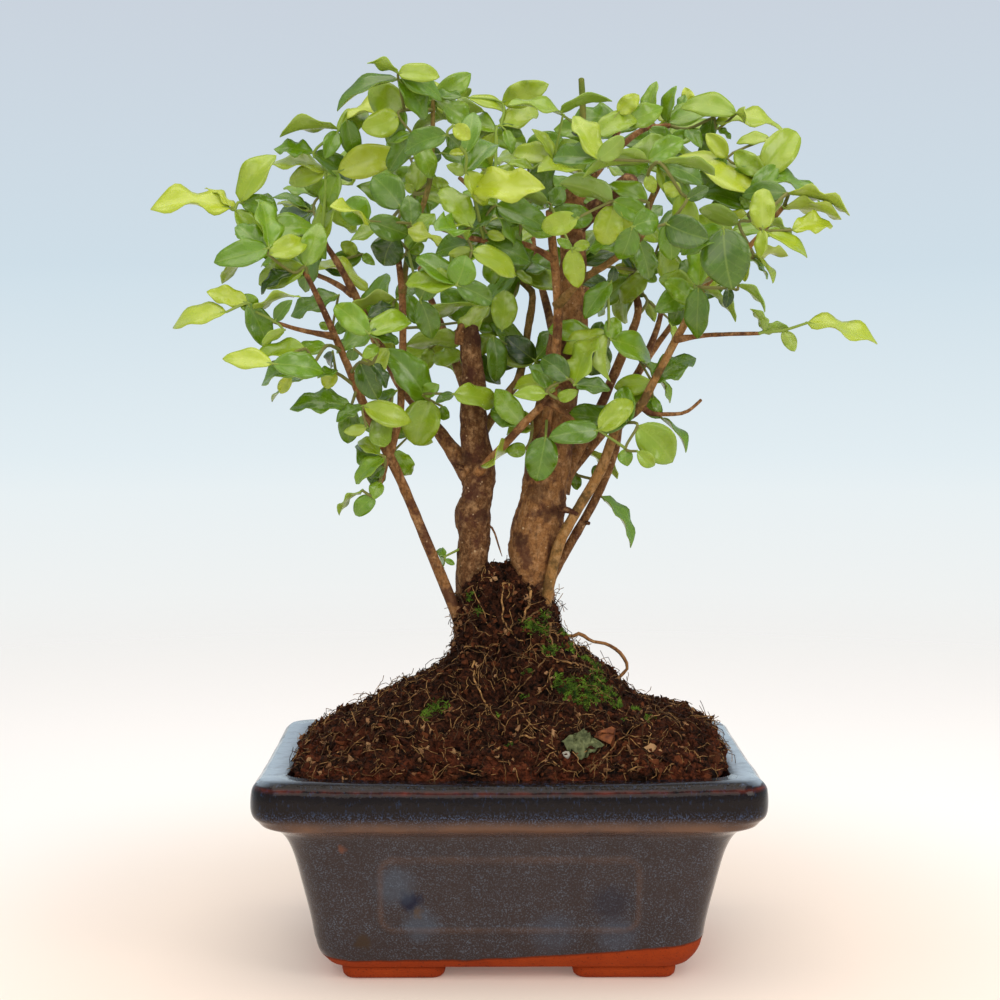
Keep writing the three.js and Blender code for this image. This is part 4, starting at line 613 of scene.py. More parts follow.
for sign_x in (-1, 1):
    for sign_y in (-1, 1):
        foot_x, foot_y = sign_x * FOOT_CENTRE[0], sign_y * FOOT_CENTRE[1]
        rings = [foot_ring(foot_x, foot_y, inset, z) for inset, z in FOOT_LEVELS]
        append_mesh(pot, *loft(rings))
pot_normals = [vertex.normal.copy() for vertex in pot.data.vertices]
for vertex, normal in zip(pot.data.vertices, pot_normals):
    place = vertex.co / MM
    if place.z < ROUGH_CLAY_BELOW:
        rough = 0.35 * noise.noise(place / 6) + 0.12 * noise.noise(place / 1.3)
        vertex.co += Vector((normal.x, normal.y, 0)) * (rough - 0.2) * MM
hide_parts("pot")
print("pot:", triangles(pot), "triangles")

# %% [markdown]
# ### The glaze
#
# This is a dark stoneware glaze over brown clay. It is glass with fine pale blue specks where crystals
# grew, thick in some clouds and missing in others, and it runs thin over every edge, so the clay shines
# through brown there: under the rim, along the frame and at the top edge of the rim, where it turns rust
# red. The rim's band is nearly black. A painted picture could carry this, but a stack of noises on object
# coordinates is sharper and has no seams. The edges' thinness is worked out for each point of the mesh,
# because only the shape knows its edges.

# %% Where the glaze is thin and where it lies on the rim
OUTSIDE_X, OUTSIDE_Y = 66, 43
COVE_Z = 53.4
RIM_EDGE_Z = 65

thin, rust, top = [], [], []
for vertex in pot.data.vertices:
    x, y, z = (v / MM for v in vertex.co)
    outside = max(abs(x) - OUTSIDE_X, abs(y) - OUTSIDE_Y) > 0
    ridge = panel_relief(x, z) / PANEL_STANDS_OUT if abs(y) > 36 and z < 48 else 0
    cove = math.exp(-((z - COVE_Z) / 2.3) ** 2)
    thin.append(min(1, max(0.3 * ridge ** 2, cove) if outside or z < 48 else 0))
    lift = CORNER_LIFT * (x / 78 * y / 55) ** 2
    edge = math.exp(-((z - lift - RIM_EDGE_Z) / 0.5) ** 2) if outside and vertex.normal.z < 0.93 else 0
    rust.append(edge * (0.75 + 0.5 * noise.noise(vertex.co / MM / 5)))
    top.append(1.0 if z > 60 and (vertex.normal.z > 0.8 or not outside) else 0.0)
mark_points(pot, "glaze_thin", thin)
mark_points(pot, "glaze_rust", rust)
mark_points(pot, "glaze_top", top)
print("points where the glaze lies on the rim:", int(sum(top)))

# %% The glaze on the wall
BLOTCHES = [((-31, 28, 4.2), "#10152b", 0.9), ((-36, 33, 8), "#4c5866", 0.4), ((-28, 20, 7), "#4c5866", 0.4),
    ((32, 27, 8), "#1d2130", 0.45), ((-46, 14, 3.4), "#3a2c20", 0.9), ((14, 17, 9), "#465160", 0.3),
    ((34, 16, 8), "#465160", 0.35), ((-52, 46, 2.2), "#6d4330", 0.7), ((-29, 24, 2), "#54402c", 0.6)]

glaze, tree, in_mm = open_material("dark_blue_stoneware_glaze")
across, inward, height = add(tree, "ShaderNodeSeparateXYZ", {0: in_mm}).outputs
cloud, speck_field, drift, grit, edge_cloud, swelling = (add(tree, "ShaderNodeTexNoise", {"Vector": in_mm,
    "Scale": 1 / size, "Detail": detail, "Roughness": rough}) for size, detail, rough in (
    (15, 4, 0.6), (0.5, 1.5, 0.6), (6, 4, 0.65), (0.6, 3, 0.7), (18, 3, 0.55), (6, 3, 0.6)))
marked_thin, marked_rust, marked_top = (add(tree, "ShaderNodeAttribute", attribute_name=name).outputs["Fac"]
    for name in ("glaze_thin", "glaze_rust", "glaze_top"))

bloom = add(tree, "ShaderNodeMapRange", {0: drift, 1: 0.38, 2: 0.7, 3: 0.4})
specks = add(tree, "ShaderNodeMapRange", {0: speck_field, 1: 0.5, 2: 0.7})
specks = add(tree, "ShaderNodeMath", {0: specks, 1: bloom}, operation="MULTIPLY")
slate = add(tree, "ShaderNodeMix", {0: cloud, 6: "#2d2220", 7: "#3a2e2a"}, data_type="RGBA")
slate = coat(tree, slate, "#404149", bloom, 0, 1, 0.2)
speckled = coat(tree, slate, "#8395a8", specks, 0, 1, 0.32)
front_place = ragged_front(tree, in_mm, 3.5, 3, 5)
on_front = add(tree, "ShaderNodeMapRange", {0: inward, 1: -36, 2: -38})
for (x, z, radius), tint, strength in BLOTCHES:
    reach = add(tree, "ShaderNodeVectorMath", {0: front_place, 1: (x, 0, z)}, operation="DISTANCE")
    speckled = coat(tree, speckled, tint, reach, radius, radius * 0.45, strength, only=on_front)
print("glaze specks about 0.5 mm,", len(BLOTCHES), "blotches on the front")

# %% The glaze on the rim
BAND_STARTS = (55.6, 57.4)

streak_place = add(tree, "ShaderNodeMapping", {"Vector": in_mm, "Scale": (1, 1, 0.45)})
streak = add(tree, "ShaderNodeTexNoise", {"Vector": streak_place, "Scale": 1 / 1.1, "Detail": 4,
    "Roughness": 0.7})
low_band = add(tree, "ShaderNodeMapRange", {0: height, 1: 60, 2: 57.2})
band = coat(tree, "#120908", "#24344f", streak, 0.56, 0.72, 0.75)
band = coat(tree, band, "#56698a", speck_field, 0.5, 0.68, 0.55, only=low_band)
body = coat(tree, speckled, band, height, *BAND_STARTS)
body = coat(tree, body, "#6a4d3b", cloud, 0.3, 0.6, least=0.4, only=marked_thin)
body = coat(tree, body, "#5a1f10", drift, 0.35, 0.6, only=marked_rust)

# The tops of the two short side rims, past |x| 62 mm, get a pale blue-grey coat, at least half strong: a
# painted reflection of the bright sky in the glaze.
side_x = add(tree, "ShaderNodeMath", {0: across}, operation="ABSOLUTE")
side_x = add(tree, "ShaderNodeMapRange", {0: side_x, 1: 62, 2: 74})
side_y = add(tree, "ShaderNodeMath", {0: inward}, operation="ABSOLUTE")
side_y = add(tree, "ShaderNodeMapRange", {0: side_y, 1: 55, 2: 49, 4: 0.9})
side_rims_painted_reflection = add(tree, "ShaderNodeMath", {0: side_x, 1: side_y}, operation="MULTIPLY")
rim_top = coat(tree, "#1b1411", "#34435c", streak, 0.52, 0.74)
# Painted reflection: this pale coat on the side rims stands for mirrored sky light, not a glaze colour.
rim_top = coat(tree, rim_top, "#9babb8", drift, 0.25, 0.5, least=0.5, only=side_rims_painted_reflection)
glazed = add(tree, "ShaderNodeMix", {0: marked_top, 6: body, 7: rim_top}, data_type="RGBA")
print("the dark band starts at z", BAND_STARTS[1], "mm")

# %% Bare clay, and the line where the glaze ends
DIP_HEIGHT = 8.3
DIP_SLANT = 0.045
DIP_BOW = 0.0006
DIP_WAVE = 2.4

bowed = add(tree, "ShaderNodeMath", {0: across, 1: DIP_BOW, 2: DIP_SLANT}, operation="MULTIPLY_ADD")
middle_height = DIP_HEIGHT - DIP_WAVE / 2
line = add(tree, "ShaderNodeMath", {0: across, 1: bowed, 2: middle_height}, operation="MULTIPLY_ADD")
line = add(tree, "ShaderNodeMath", {0: edge_cloud, 1: DIP_WAVE, 2: line}, operation="MULTIPLY_ADD")
over_line = add(tree, "ShaderNodeMath", {0: height, 1: line}, operation="SUBTRACT")
is_glazed = add(tree, "ShaderNodeMapRange", {0: over_line, 1: -0.15, 2: 0.2})
clay = add(tree, "ShaderNodeMix", {0: cloud, 6: "#782203", 7: "#a84312"}, data_type="RGBA")
clay = coat(tree, clay, "#2c120b", grit, 0.58, 0.68, 0.7)
clay = coat(tree, clay, "#c9743c", grit, 0.33, 0.25, 0.5)
clay = coat(tree, clay, "#241008", over_line, -0.9, -0.1, 0.7)
surface = add(tree, "ShaderNodeMix", {0: is_glazed, 6: clay, 7: glazed}, data_type="RGBA")
gloss = add(tree, "ShaderNodeMapRange", {0: specks, 3: 0.06, 4: 0.2})
dullness = add(tree, "ShaderNodeMix", {0: is_glazed, 2: 0.85, 3: gloss})
relief = add(tree, "ShaderNodeMath", {0: speck_field, 1: 0.12, 2: swelling}, operation="MULTIPLY_ADD")
bump = add(tree, "ShaderNodeBump", {"Height": relief, "Distance": 0.5 * MM, "Strength": 0.4})
close_material(tree, {"Base Color": surface, "Roughness": dullness, "Normal": bump, "IOR": 1.52,
    "Specular IOR Level": 0.18})
pot.data.materials.append(glaze)
print("the glaze ends about", DIP_HEIGHT, "mm above the table")

# %% [markdown]
# ## The wood: bark on two trunks and their branches
#
# Privet bark is thin and light grey-brown, with fine length-wise furrows, small pale pores and swollen
# knots where twigs were cut. A curve object with a bevel gives a clean pipe, and a skin modifier gives
# lumps that can't be steered. So each branch is a tube swept through its measured points. Its radius swells
# at its root like a real branch collar, and a noise that is stretched along the branch lifts the furrows as
# true relief.

# %% Sweep a tube along a branch


def smooth_branch(rows, step):
    """Points every few millimetres along a branch, each with its radius."""
    fine = smooth_rows(rows, 8)
    places = [seen(x, z, depth) for x, z, depth, radius in fine]
    out = [(places[0], fine[0][3])]
    walked = 0
    for i in range(1, len(fine)):
        walked += (places[i] - places[i - 1]).length
        if walked >= step or i == len(fine) - 1:
            out.append((places[i], fine[i][3]))
            walked = 0
    return out


def sweep(centres, radii, sides, lift=None, round_end=True):
    """Rings of points round a path, kept from twisting, with an optional height for each point."""
    count = len(centres)
    ways = [(centres[min(i + 1, count - 1)] - centres[max(i - 1, 0)]).normalized() for i in range(count)]
    across = Vector((1, 0, 0)) if abs(ways[0].x) < 0.8 else Vector((0, 1, 0))
    rings = []
    for i, way in enumerate(ways):
        across = (across - way * across.dot(way)).normalized()
        other = way.cross(across)
        ring = []
        for side in range(sides):
            angle = 2 * math.pi * side / sides
            direction = across * math.cos(angle) + other * math.sin(angle)
            point = centres[i] + direction * radii[i]
            if lift:
                point += direction * lift(point, way, i / (count - 1))
            ring.append(point)
        rings.append(ring)
    if round_end:
        last, way, radius = centres[-1], ways[-1], radii[-1]
        for push, shrink in ((0.35, 0.8), (0.55, 0.35)):
            rings.append([last + way * push * radius + (p - last) * shrink for p in rings[count - 1]])
    return rings


def bark_lift(strength):
    """Furrows about 1.5 mm wide that run along the branch, on softer swellings."""
    def lift(point, way, along):
        stretched = point - way * point.dot(way) * 0.75
        furrow = noise.fractal(stretched / 1.5, 0.6, 2.2, 3)
        swelling = noise.noise(point / 7)
        return strength * (0.55 * furrow + 0.9 * swelling)
    return lift


print("a smooth left trunk has", len(smooth_branch(WOOD["leftTrunk"], 0.8)), "rings")

# %% Make the wood
SIDES = {"leftTrunk": 56, "rightTrunk": 64, "crown": 40, "leftLimb": 28, "limbHigh": 28, "darkStub": 24}
OTHER_SIDES = 14
ROUGH = {"leftTrunk": 0.75, "rightTrunk": 0.8, "crown": 0.6, "leftLimb": 0.28, "limbHigh": 0.28,
    "darkStub": 0.4}
OTHER_ROUGH = 0.13
RING_EVERY = {True: 0.8, False: 1.6}
COLLAR_LENGTH = 5
TONES = {"leftTrunk": 0.2, "rightTrunk": 0.66, "longRight": 0.95, "longRightBehind": 0.35, "darkStub": 0.1,
    "frontStem": 0.85, "crossingStem": 1.0, "leftLimb": 0.5, "longLeft": 0.6, "loopRoot": 0.8,
    "spur_right": 0.0, "spur_left": 0.0, "spur_behind": 0.0, "wisp": 0.2}
OTHER_TONE = 0.6
GREENS = {"cutGreenStem": 0.9, "innerLeftTop": 0.5, "longRight": 0.15, "frontRightStem": 0.2,
    "middleStem": 0.25}

SPURS = {
    "spur_right": [(17, 146, -8, 0.9), (20.5, 145.2, -10, 0.8), (23, 144, -11, 0.6)],
    "spur_left": [(-13, 158.6, 0, 0.9), (-15.5, 159.6, -1, 0.8), (-18, 160.5, -2, 0.6)],
    "spur_behind": [(23.5, 140, 3, 0.7), (25.5, 141.2, 2, 0.6), (27, 141, 1, 0.5)],
    "wisp": [(-8, 141.5, 0, 0.2), (-5, 139, -2, 0.25), (-3, 133, -1, 0.25), (-2, 130, 0, 0.15)],
    "wisp_top": [(-15.2, 201, 2, 1.7), (-15.6, 204.5, 1, 1.4), (-15.5, 206.8, 1, 0.9)],
    "splinter_top": [(-12, 201, 3, 2.1), (-11.8, 204, 3, 1.8), (-11.3, 206.2, 3, 1.1)],
}

wood_points, wood_faces, wood_tones, wood_greens = [], [], [], []
for name, rows in [*WOOD.items(), *SPURS.items()]:
    thick = name in ("leftTrunk", "rightTrunk", "crown")
    spine = smooth_branch(rows, RING_EVERY[thick])
    centres = [place for place, radius in spine]
    radii = []
    walked = 0
    for i, (place, radius) in enumerate(spine):
        walked += (place - centres[max(i - 1, 0)]).length
        collar = 0 if thick else 0.5 * math.exp(-(walked / COLLAR_LENGTH) ** 2)
        joint = 0 if thick else 0.12 * max(0, noise.noise(place / 2.5 + Vector((0, 0, 40))))
        radii.append(radius * (1 + collar + joint))
    lift = bark_lift(ROUGH.get(name, OTHER_ROUGH))
    rings = sweep(centres, radii, SIDES.get(name, OTHER_SIDES), lift, name != "leftTrunk")
    if name == "leftTrunk":
        for level in (-3, -2, -1):
            rough = 2 * (4 + level) / 3
            rings[level] = [p + Vector((0, 0, rough * noise.noise(p / 1.6))) for p in rings[level]]
        rings.append([centres[-1] + (p - centres[-1]) * 0.6 - Vector((0, 0, 1.8)) for p in rings[-1]])
    points, faces = loft(rings)
    start = len(wood_points)
    wood_points += points
    wood_faces += [tuple(start + i for i in face) for face in faces]
    wood_tones += [TONES.get(name, OTHER_TONE)] * len(points)
    wood_greens += [GREENS.get(name, 0.0)] * len(points)

wood = piece("wood_bark", wood_points, wood_faces, "bark")
mark_points(wood, "bark_tone", wood_tones)
mark_points(wood, "bark_green", wood_greens)
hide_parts("wood")
print("wood:", triangles(wood), "triangles")

# %% Bark
# Dark patches on the bark at the forks, between the two trunks, under crossing twigs and at the left trunk's
# top under the leaves: painted shade.
PAINTED_SHADE_PATCHES = [((10, 154.5), 4.5), ((13, 147), 3), ((12, 124), 3.5), ((4, 139), 3), ((-9, 146), 3),
    ((-14, 165), 3), ((20, 183), 4), ((-11, 206), 5), ((16, 206), 3), ((22, 236), 4)]
PORE_APART = 2.1

bark, tree, in_mm = open_material("privet_bark")
long_grain = add(tree, "ShaderNodeMapping", {"Vector": in_mm, "Scale": (1, 1, 0.4)})
furrow, bumps, patch, speckle, pore_cloud = (add(tree, "ShaderNodeTexNoise", {"Vector": place,
    "Scale": 1 / size, "Detail": detail, "Roughness": rough}) for place, size, detail, rough in (
    (long_grain, 1.2, 5, 0.68), (in_mm, 2.2, 3, 0.6), (in_mm, 8, 4, 0.65), (in_mm, 0.8, 4, 0.65),
    (in_mm, 3.5, 2, 0.55)))
marked_tone, marked_green = (add(tree, "ShaderNodeAttribute", attribute_name=name).outputs["Fac"]
    for name in ("bark_tone", "bark_green"))

ground = add(tree, "ShaderNodeMix", {0: marked_tone, 6: "#472a17", 7: "#9c6b3c"}, data_type="RGBA")
for tint, field, low, high, most in (("#b58b60", bumps, 0.48, 0.7, 0.65),
    ("#b3865a", speckle, 0.5, 0.7, 0.35),
    ("#3a2113", speckle, 0.48, 0.3, 0.5), ("#2b170c", furrow, 0.5, 0.34, 0.55),
    ("#45241a", patch, 0.5, 0.6, 0.75)):
    ground = coat(tree, ground, tint, field, low, high, most)
flat_place = ragged_front(tree, in_mm, 2.5, 4, 7)
# Painted shade: each listed patch darkens the bark towards its middle, with a ragged edge.
for (x, z), radius in PAINTED_SHADE_PATCHES:
    reach = add(tree, "ShaderNodeVectorMath", {0: flat_place, 1: (x, 0, z)}, operation="DISTANCE")
    ground = coat(tree, ground, "#321a10", reach, radius, radius * 0.6, 0.55)
pore = add(tree, "ShaderNodeTexVoronoi", {"Vector": in_mm, "Scale": 1 / PORE_APART})
pore_size = add(tree, "ShaderNodeMapRange", {0: pore_cloud, 1: 0.45, 2: 0.7, 4: 0.22})
off_pore = add(tree, "ShaderNodeMath", {0: pore, 1: pore_size}, operation="SUBTRACT")
ground = coat(tree, ground, "#c2a37c", off_pore, 0.03, -0.04, 0.65)
ground = coat(tree, ground, "#66752c", patch, 0.3, 0.6, least=0.4, only=marked_green)
relief = add(tree, "ShaderNodeMath", {0: speckle, 1: 0.5, 2: furrow}, operation="MULTIPLY_ADD")
relief = add(tree, "ShaderNodeMath", {0: bumps, 1: 0.5, 2: relief}, operation="MULTIPLY_ADD")
bump = add(tree, "ShaderNodeBump", {"Height": relief, "Distance": 0.6 * MM, "Strength": 0.9})
close_material(tree, {"Base Color": ground, "Roughness": 0.75, "Specular IOR Level": 0.15, "Normal": bump})
wood.data.materials.append(bark)
print("bark furrows about 1.2 mm wide,", len(PAINTED_SHADE_PATCHES), "dark patches")

# %% [markdown]
# ## Where the leaves stand
#
# A leaf that is seen narrow is either a narrow leaf or a broad one turned away. Privet leaves are at least
# half as wide as they are long, so a leaf that looks narrower is turned about its own middle line until it
# looks as it was drawn. Then each tip may swing nearer or further until the leaf keeps clear of the leaves
# and twigs before it, as real leaves do when they grow towards the light. The CAD model uses the same rule.

# %% Leaf frames
LEAF_ASPECT = 0.5
LEAF_ARCH = 0.06
LEAF_FOLD = 0.1
SAME_NODE = 1.6
TWIG_RADIUS = 0.75
CLEAR_OF_LEAF = 1.8
CLEAR_AT_LEAST = 1.1
CLEAR_OF_TWIG = 0.9
TIP_SHIFTS = (0, 5, -5, 10, -10, 15, -15, 20, -20)


def leaf_frame(row, base, tip_depth):
    width, under = row[4], U in row
    axis = seen(row[2], row[3], tip_depth) - base
    length = axis.length
    axis.normalize()
    view = (CAMERA_PLACE - base).normalized()
    facing = (view - axis * view.dot(axis)).normalized()
    across = axis.cross(facing)
    true_width = max(width, LEAF_ASPECT * length)
    cosine = min(1, width / true_width)
    sine = math.sqrt(1 - cosine * cosine)
    to_view = -cosine if under else cosine
    normal = max((facing * to_view + across * sine, facing * to_view - across * sine), key=lambda v: v.z)
    return {"base": base, "axis": axis, "normal": normal, "length": length, "across": axis.cross(normal),
        "half_width": true_width / 2}


def blade_point(leaf, along, out, height=0.0):
    arch = LEAF_ARCH * leaf["length"] * math.sin(math.pi * along)
    fold = LEAF_FOLD * abs(out) * leaf["half_width"]
    return (leaf["base"] + leaf["axis"] * along * leaf["length"] + leaf["across"] * out * leaf["half_width"]
        + leaf["normal"] * (arch + fold + height))


def traced_leaves(foot, end, rows, order):
    reach = [math.hypot(row[0] - foot[0], row[1] - foot[1]) for row in rows]
    furthest = max(*reach, 6)
    for i, row in enumerate(rows):
        depth = foot[2] + (end - foot[2]) * reach[i] / furthest
        length = math.hypot(row[2] - row[0], row[3] - row[1])
        yield row, depth, depth + (chance(order * 40 + i) - 0.5) * 0.9 * length


BACK_LEAF_LENGTH = 17
BACK_LEAF_WIDTH = 8


def back_leaves(foot, tip, pairs, order):
    for pair in range(1, pairs + 1):
        at = [a + (b - a) * pair / pairs for a, b in zip(foot, tip)]
        for side in (-1, 1):
            seed = order * 50 + pair * 2 + side
            turn = pair * math.pi / 2 + 0.6 * chance(seed)
            length = BACK_LEAF_LENGTH * (0.75 + 0.4 * chance(seed + 7))
            dx, dy = side * math.cos(turn) * length, side * math.sin(turn) * length
            rise = length * (0.5 * chance(seed + 13) - 0.1)
            shade = 3 + int(4 * chance(seed + 29))
            yield (at[0], at[1], at[0] + dx, at[1] + rise, BACK_LEAF_WIDTH, shade), at[2], at[2] + dy


print("a leaf seen 2 mm wide and 14 mm long is turned by",
    round(math.degrees(math.acos(2 / (LEAF_ASPECT * 14)))), "degrees")

# %% [markdown]
# A shoot's twigs must reach the base of each of its leaves. A short rule grows them: from the foot on, the
# leaf base that is nearest to a joint of the twigs is joined to it, until none waits. That gives the forks
# of a real shoot, with no long twig where a short one will do.

# %% Grow the twigs of a shoot


def grow_joints(foot, bases):
    joints = [{"point": foot, "parent": None, "height": 0, "children": []}]
    leaf_joints = {}
    waiting = list(range(len(bases)))
    while waiting:
        distance, nearest, joint = min((((bases[i] - joint["point"]).length, i, k)
            for i in waiting for k, joint in enumerate(joints)), key=lambda found: found[0])
        waiting.remove(nearest)
        joint = joints[joint]
        if distance > SAME_NODE:
            made = {"point": bases[nearest], "parent": joint, "height": 0, "children": []}
            joint["children"].append(made)
            joints.append(made)
            leaf_joints[nearest] = made
            above, below = 1, joint
            while below:
                below["height"] = max(below["height"], above)
                above, below = above + 1, below["parent"]
        else:
            leaf_joints[nearest] = joint
    return joints, [leaf_joints[i] for i in range(len(bases))]


def twig_runs(root):
    runs = []

    def follow(run, joint):
        run.append(joint)
        ordered = sorted(joint["children"], key=lambda child: -child["height"])
        if ordered:
            follow(run, ordered[0])
        for other in ordered[1:]:
            side = [joint]
            runs.append(side)
            follow(side, other)

    main = []
    runs.append(main)
    follow(main, root)
    return [run for run in runs if len(run) > 1]


shoots = []
for order, (name, (foot, end, rows)) in enumerate(SHOOTS.items()):
    shoots.append({"name": name, "foot": seen(*foot), "leaves": list(traced_leaves(foot, end, rows, order))})
for order, (name, (foot, tip, pairs)) in enumerate(BACK_SHOOTS.items()):
    shoots.append({"name": name, "foot": seen(*foot), "leaves": list(back_leaves(foot, tip, pairs, order))})
for shoot in shoots:
    shoot["bases"] = [seen(row[0], row[1], depth) for row, depth, tip in shoot["leaves"]]
    shoot["joints"], shoot["leaf_joints"] = grow_joints(shoot["foot"], shoot["bases"])
    shoot["runs"] = twig_runs(shoot["joints"][0])
print("twigs:", sum(len(shoot["runs"]) for shoot in shoots), "runs")

# %% Place the leaves clear of each other
import numpy

SAMPLE_ALONG = (0.3, 0.45, 0.6, 0.75, 0.9, 1)
SAMPLE_OUT = (-0.85, -0.4, 0, 0.4, 0.85)
MIDDLE_SAMPLE = 14
FAR_APART = 35

line_starts, line_ends, line_radii, line_owners = [], [], [], []
for rows in WOOD.values():
    centres = [seen(x, z, depth) for x, z, depth, radius in rows]
    for i in range(len(rows) - 1):
        line_starts.append(centres[i])
        line_ends.append(centres[i + 1])
        line_radii.append(max(rows[i][3], rows[i + 1][3]))
        line_owners.append(None)
for shoot in shoots:
    for joint in shoot["joints"][1:]:
        line_starts.append(joint["parent"]["point"])
        line_ends.append(joint["point"])
        line_radii.append(TWIG_RADIUS)
        line_owners.append(shoot["name"])
starts, ends = numpy.array(line_starts), numpy.array(line_ends)
allowances = numpy.array(line_radii) + CLEAR_OF_TWIG - CLEAR_OF_LEAF
steps = ends - starts


def samples_of(leaf):
    points = []
    for along in SAMPLE_ALONG:
        taper = min(1, 2.2 * (1 - along) + 0.15)
        points += [blade_point(leaf, along, out * taper) for out in SAMPLE_OUT]
    return numpy.array(points)


def clearance(samples, placed, others):
    least = math.inf
    for other in placed:
        if numpy.linalg.norm(other["samples"][MIDDLE_SAMPLE] - samples[MIDDLE_SAMPLE]) <= FAR_APART:
            gaps = numpy.linalg.norm(samples[:, None] - other["samples"][None], axis=2)
            least = min(least, gaps.min())
    to_start = samples[:, None] - starts[others][None]
    way = steps[others]
    along = numpy.clip((to_start * way).sum(axis=2) / (way * way).sum(axis=1), 0, 1)
    gaps = numpy.linalg.norm(to_start - along[..., None] * way, axis=2) - allowances[others]
    return min(least, gaps.min())


placed = []
for shoot in shoots:
    others = numpy.array([owner != shoot["name"] for owner in line_owners])
    for (row, depth, tip), base, joint in zip(shoot["leaves"], shoot["bases"], shoot["leaf_joints"]):
        best = None
        for shift in TIP_SHIFTS:
            leaf = leaf_frame(row, base, tip + shift)
            leaf["samples"] = samples_of(leaf)
            leaf["clear"] = clearance(leaf["samples"], placed, others)
            if best is None or leaf["clear"] > best["clear"]:
                best = leaf
            if leaf["clear"] >= CLEAR_OF_LEAF:
                break
        if best["clear"] >= CLEAR_AT_LEAST:
            best.update(shoot=shoot["name"], root=joint["point"], shade=row[5])
            placed.append(best)
print(len(placed), "leaves placed as they were drawn")

# %% [markdown]
# The drawn leaves are the ones that can be told apart. Behind them the crown is full of others, so each
# shoot gets one more leaf where the eye finds most room inside the crown's outline, by a rule that the CAD
# model shares. Then smaller leaves close the crown where it is seen as solid green.

# %% Fill leaves
CROWN = [(-92, 248), (-87, 259), (-70, 269), (-56, 279), (-48, 288), (-30, 291), (-13, 288), (-3, 281),
    (27, 277),
    (44, 281), (64, 279), (85, 274), (98, 264), (103, 253), (98, 236), (88, 222), (76, 215), (64, 205),
    (61, 189),
    (51, 172), (31, 165), (16, 166), (-3, 176), (-18, 182), (-33, 169), (-50, 160), (-60, 176), (-75, 182),
    (-85, 192), (-92, 208), (-97, 225)]
FILL_LENGTH = 17
FILL_WIDTH = 8
FILL_TURNS = 10


def in_crown(x, z):
    inside = False
    for (x1, z1), (x2, z2) in zip(CROWN, CROWN[-1:] + CROWN[:-1]):
        if (z1 > z) != (z2 > z) and x < (x2 - x1) * (z - z1) / (z2 - z1) + x1:
            inside = not inside
    return inside


def flattened(place):
    """Where a point is seen on the plane y = 0."""
    on_plane = (Vector(place) - CAMERA_PLACE) * (-CAMERA_PLACE.y / (place[1] - CAMERA_PLACE.y)) + CAMERA_PLACE
    return on_plane.x, on_plane.z - RAISE


def fill_candidates(shoot, order, scale=1.0, shift=0):
    """Leaves that could grow from the shoot's joints, in ten directions from each."""
    for number, joint in enumerate(shoot["joints"]):
        x, z = flattened(joint["point"])
        for turn in range(FILL_TURNS):
            seed = order * 300 + number * 12 + turn + shift
            length = scale * FILL_LENGTH * (0.8 + 0.35 * chance(seed))
            angle = (turn + chance(seed + 3)) / FILL_TURNS * 2 * math.pi
            tip_x, tip_z = x + length * math.cos(angle), z + length * math.sin(angle)
            if not in_crown(tip_x, tip_z):
                continue
            tip_depth = joint["point"].y + length * (0.2 + 0.5 * chance(seed + 5))
            leaf = leaf_frame((x, z, tip_x, tip_z, FILL_WIDTH * scale), joint["point"], tip_depth)
            leaf["samples"] = samples_of(leaf)
            leaf["middle"] = flattened(leaf["samples"][MIDDLE_SAMPLE])
            leaf.update(shoot=shoot["name"], root=joint["point"], shade=3 + int(4.5 * chance(seed + 7)))
            yield leaf


def room_of(leaf):
    return min(math.dist(leaf["middle"], other["middle"]) for other in placed)


for leaf in placed:
    leaf["middle"] = flattened(leaf["samples"][MIDDLE_SAMPLE])
strangers = {shoot["name"]: numpy.array([owner != shoot["name"] for owner in line_owners])
    for shoot in shoots}
for order, shoot in enumerate(shoots[:len(SHOOTS)]):
    best, most = None, 0
    for leaf in fill_candidates(shoot, order):
        room = room_of(leaf)
        if room > most and clearance(leaf["samples"], placed, strangers[shoot["name"]]) >= CLEAR_OF_LEAF:
            best, most = leaf, room
    if best:
        placed.append(best)
print(len(placed), "leaves with one fill leaf on each shoot")

# %% Close the crown
SOLID_GREEN = [(-34, 4, 276, 290), (-56, -9, 262, 279), (-12, 30, 262, 279), (30, 92, 262, 276),
    (-70, -48, 245, 262), (-30, -9, 245, 262),
    (50, 90, 245, 262), (-90, -49, 228, 245), (-30, 70, 228, 245), (-30, 52, 212, 228), (50, 70, 214, 228),
    (-50, -34, 196, 212), (-10, 24, 196, 212), (-10, 10, 180, 196), (30, 52, 180, 196), (-74, -50, 163, 180),
    (-10, 10, 163, 180)]
CLOSING_LEAVES = 115
CLOSING_SCALE = 0.88
CLEAR_OF_CLOSING = 0.9

waiting = []
for order, shoot in enumerate(shoots[:len(SHOOTS)]):
    for leaf in fill_candidates(shoot, order, CLOSING_SCALE, 7000):
        x, z = leaf["middle"]
        if any(left < x < right and low < z < high for left, right, low, high in SOLID_GREEN):
            leaf["room"] = room_of(leaf)
            waiting.append(leaf)
closed = 0
while waiting and closed < CLOSING_LEAVES:
    leaf = max(waiting, key=lambda other: other["room"])
    waiting.remove(leaf)
    if clearance(leaf["samples"], placed, strangers[leaf["shoot"]]) < CLEAR_OF_CLOSING:
        continue
    placed.append(leaf)
    closed += 1
    for other in waiting:
        other["room"] = min(other["room"], math.dist(leaf["middle"], other["middle"]))
print(closed, "leaves close the crown, so it has", len(placed))

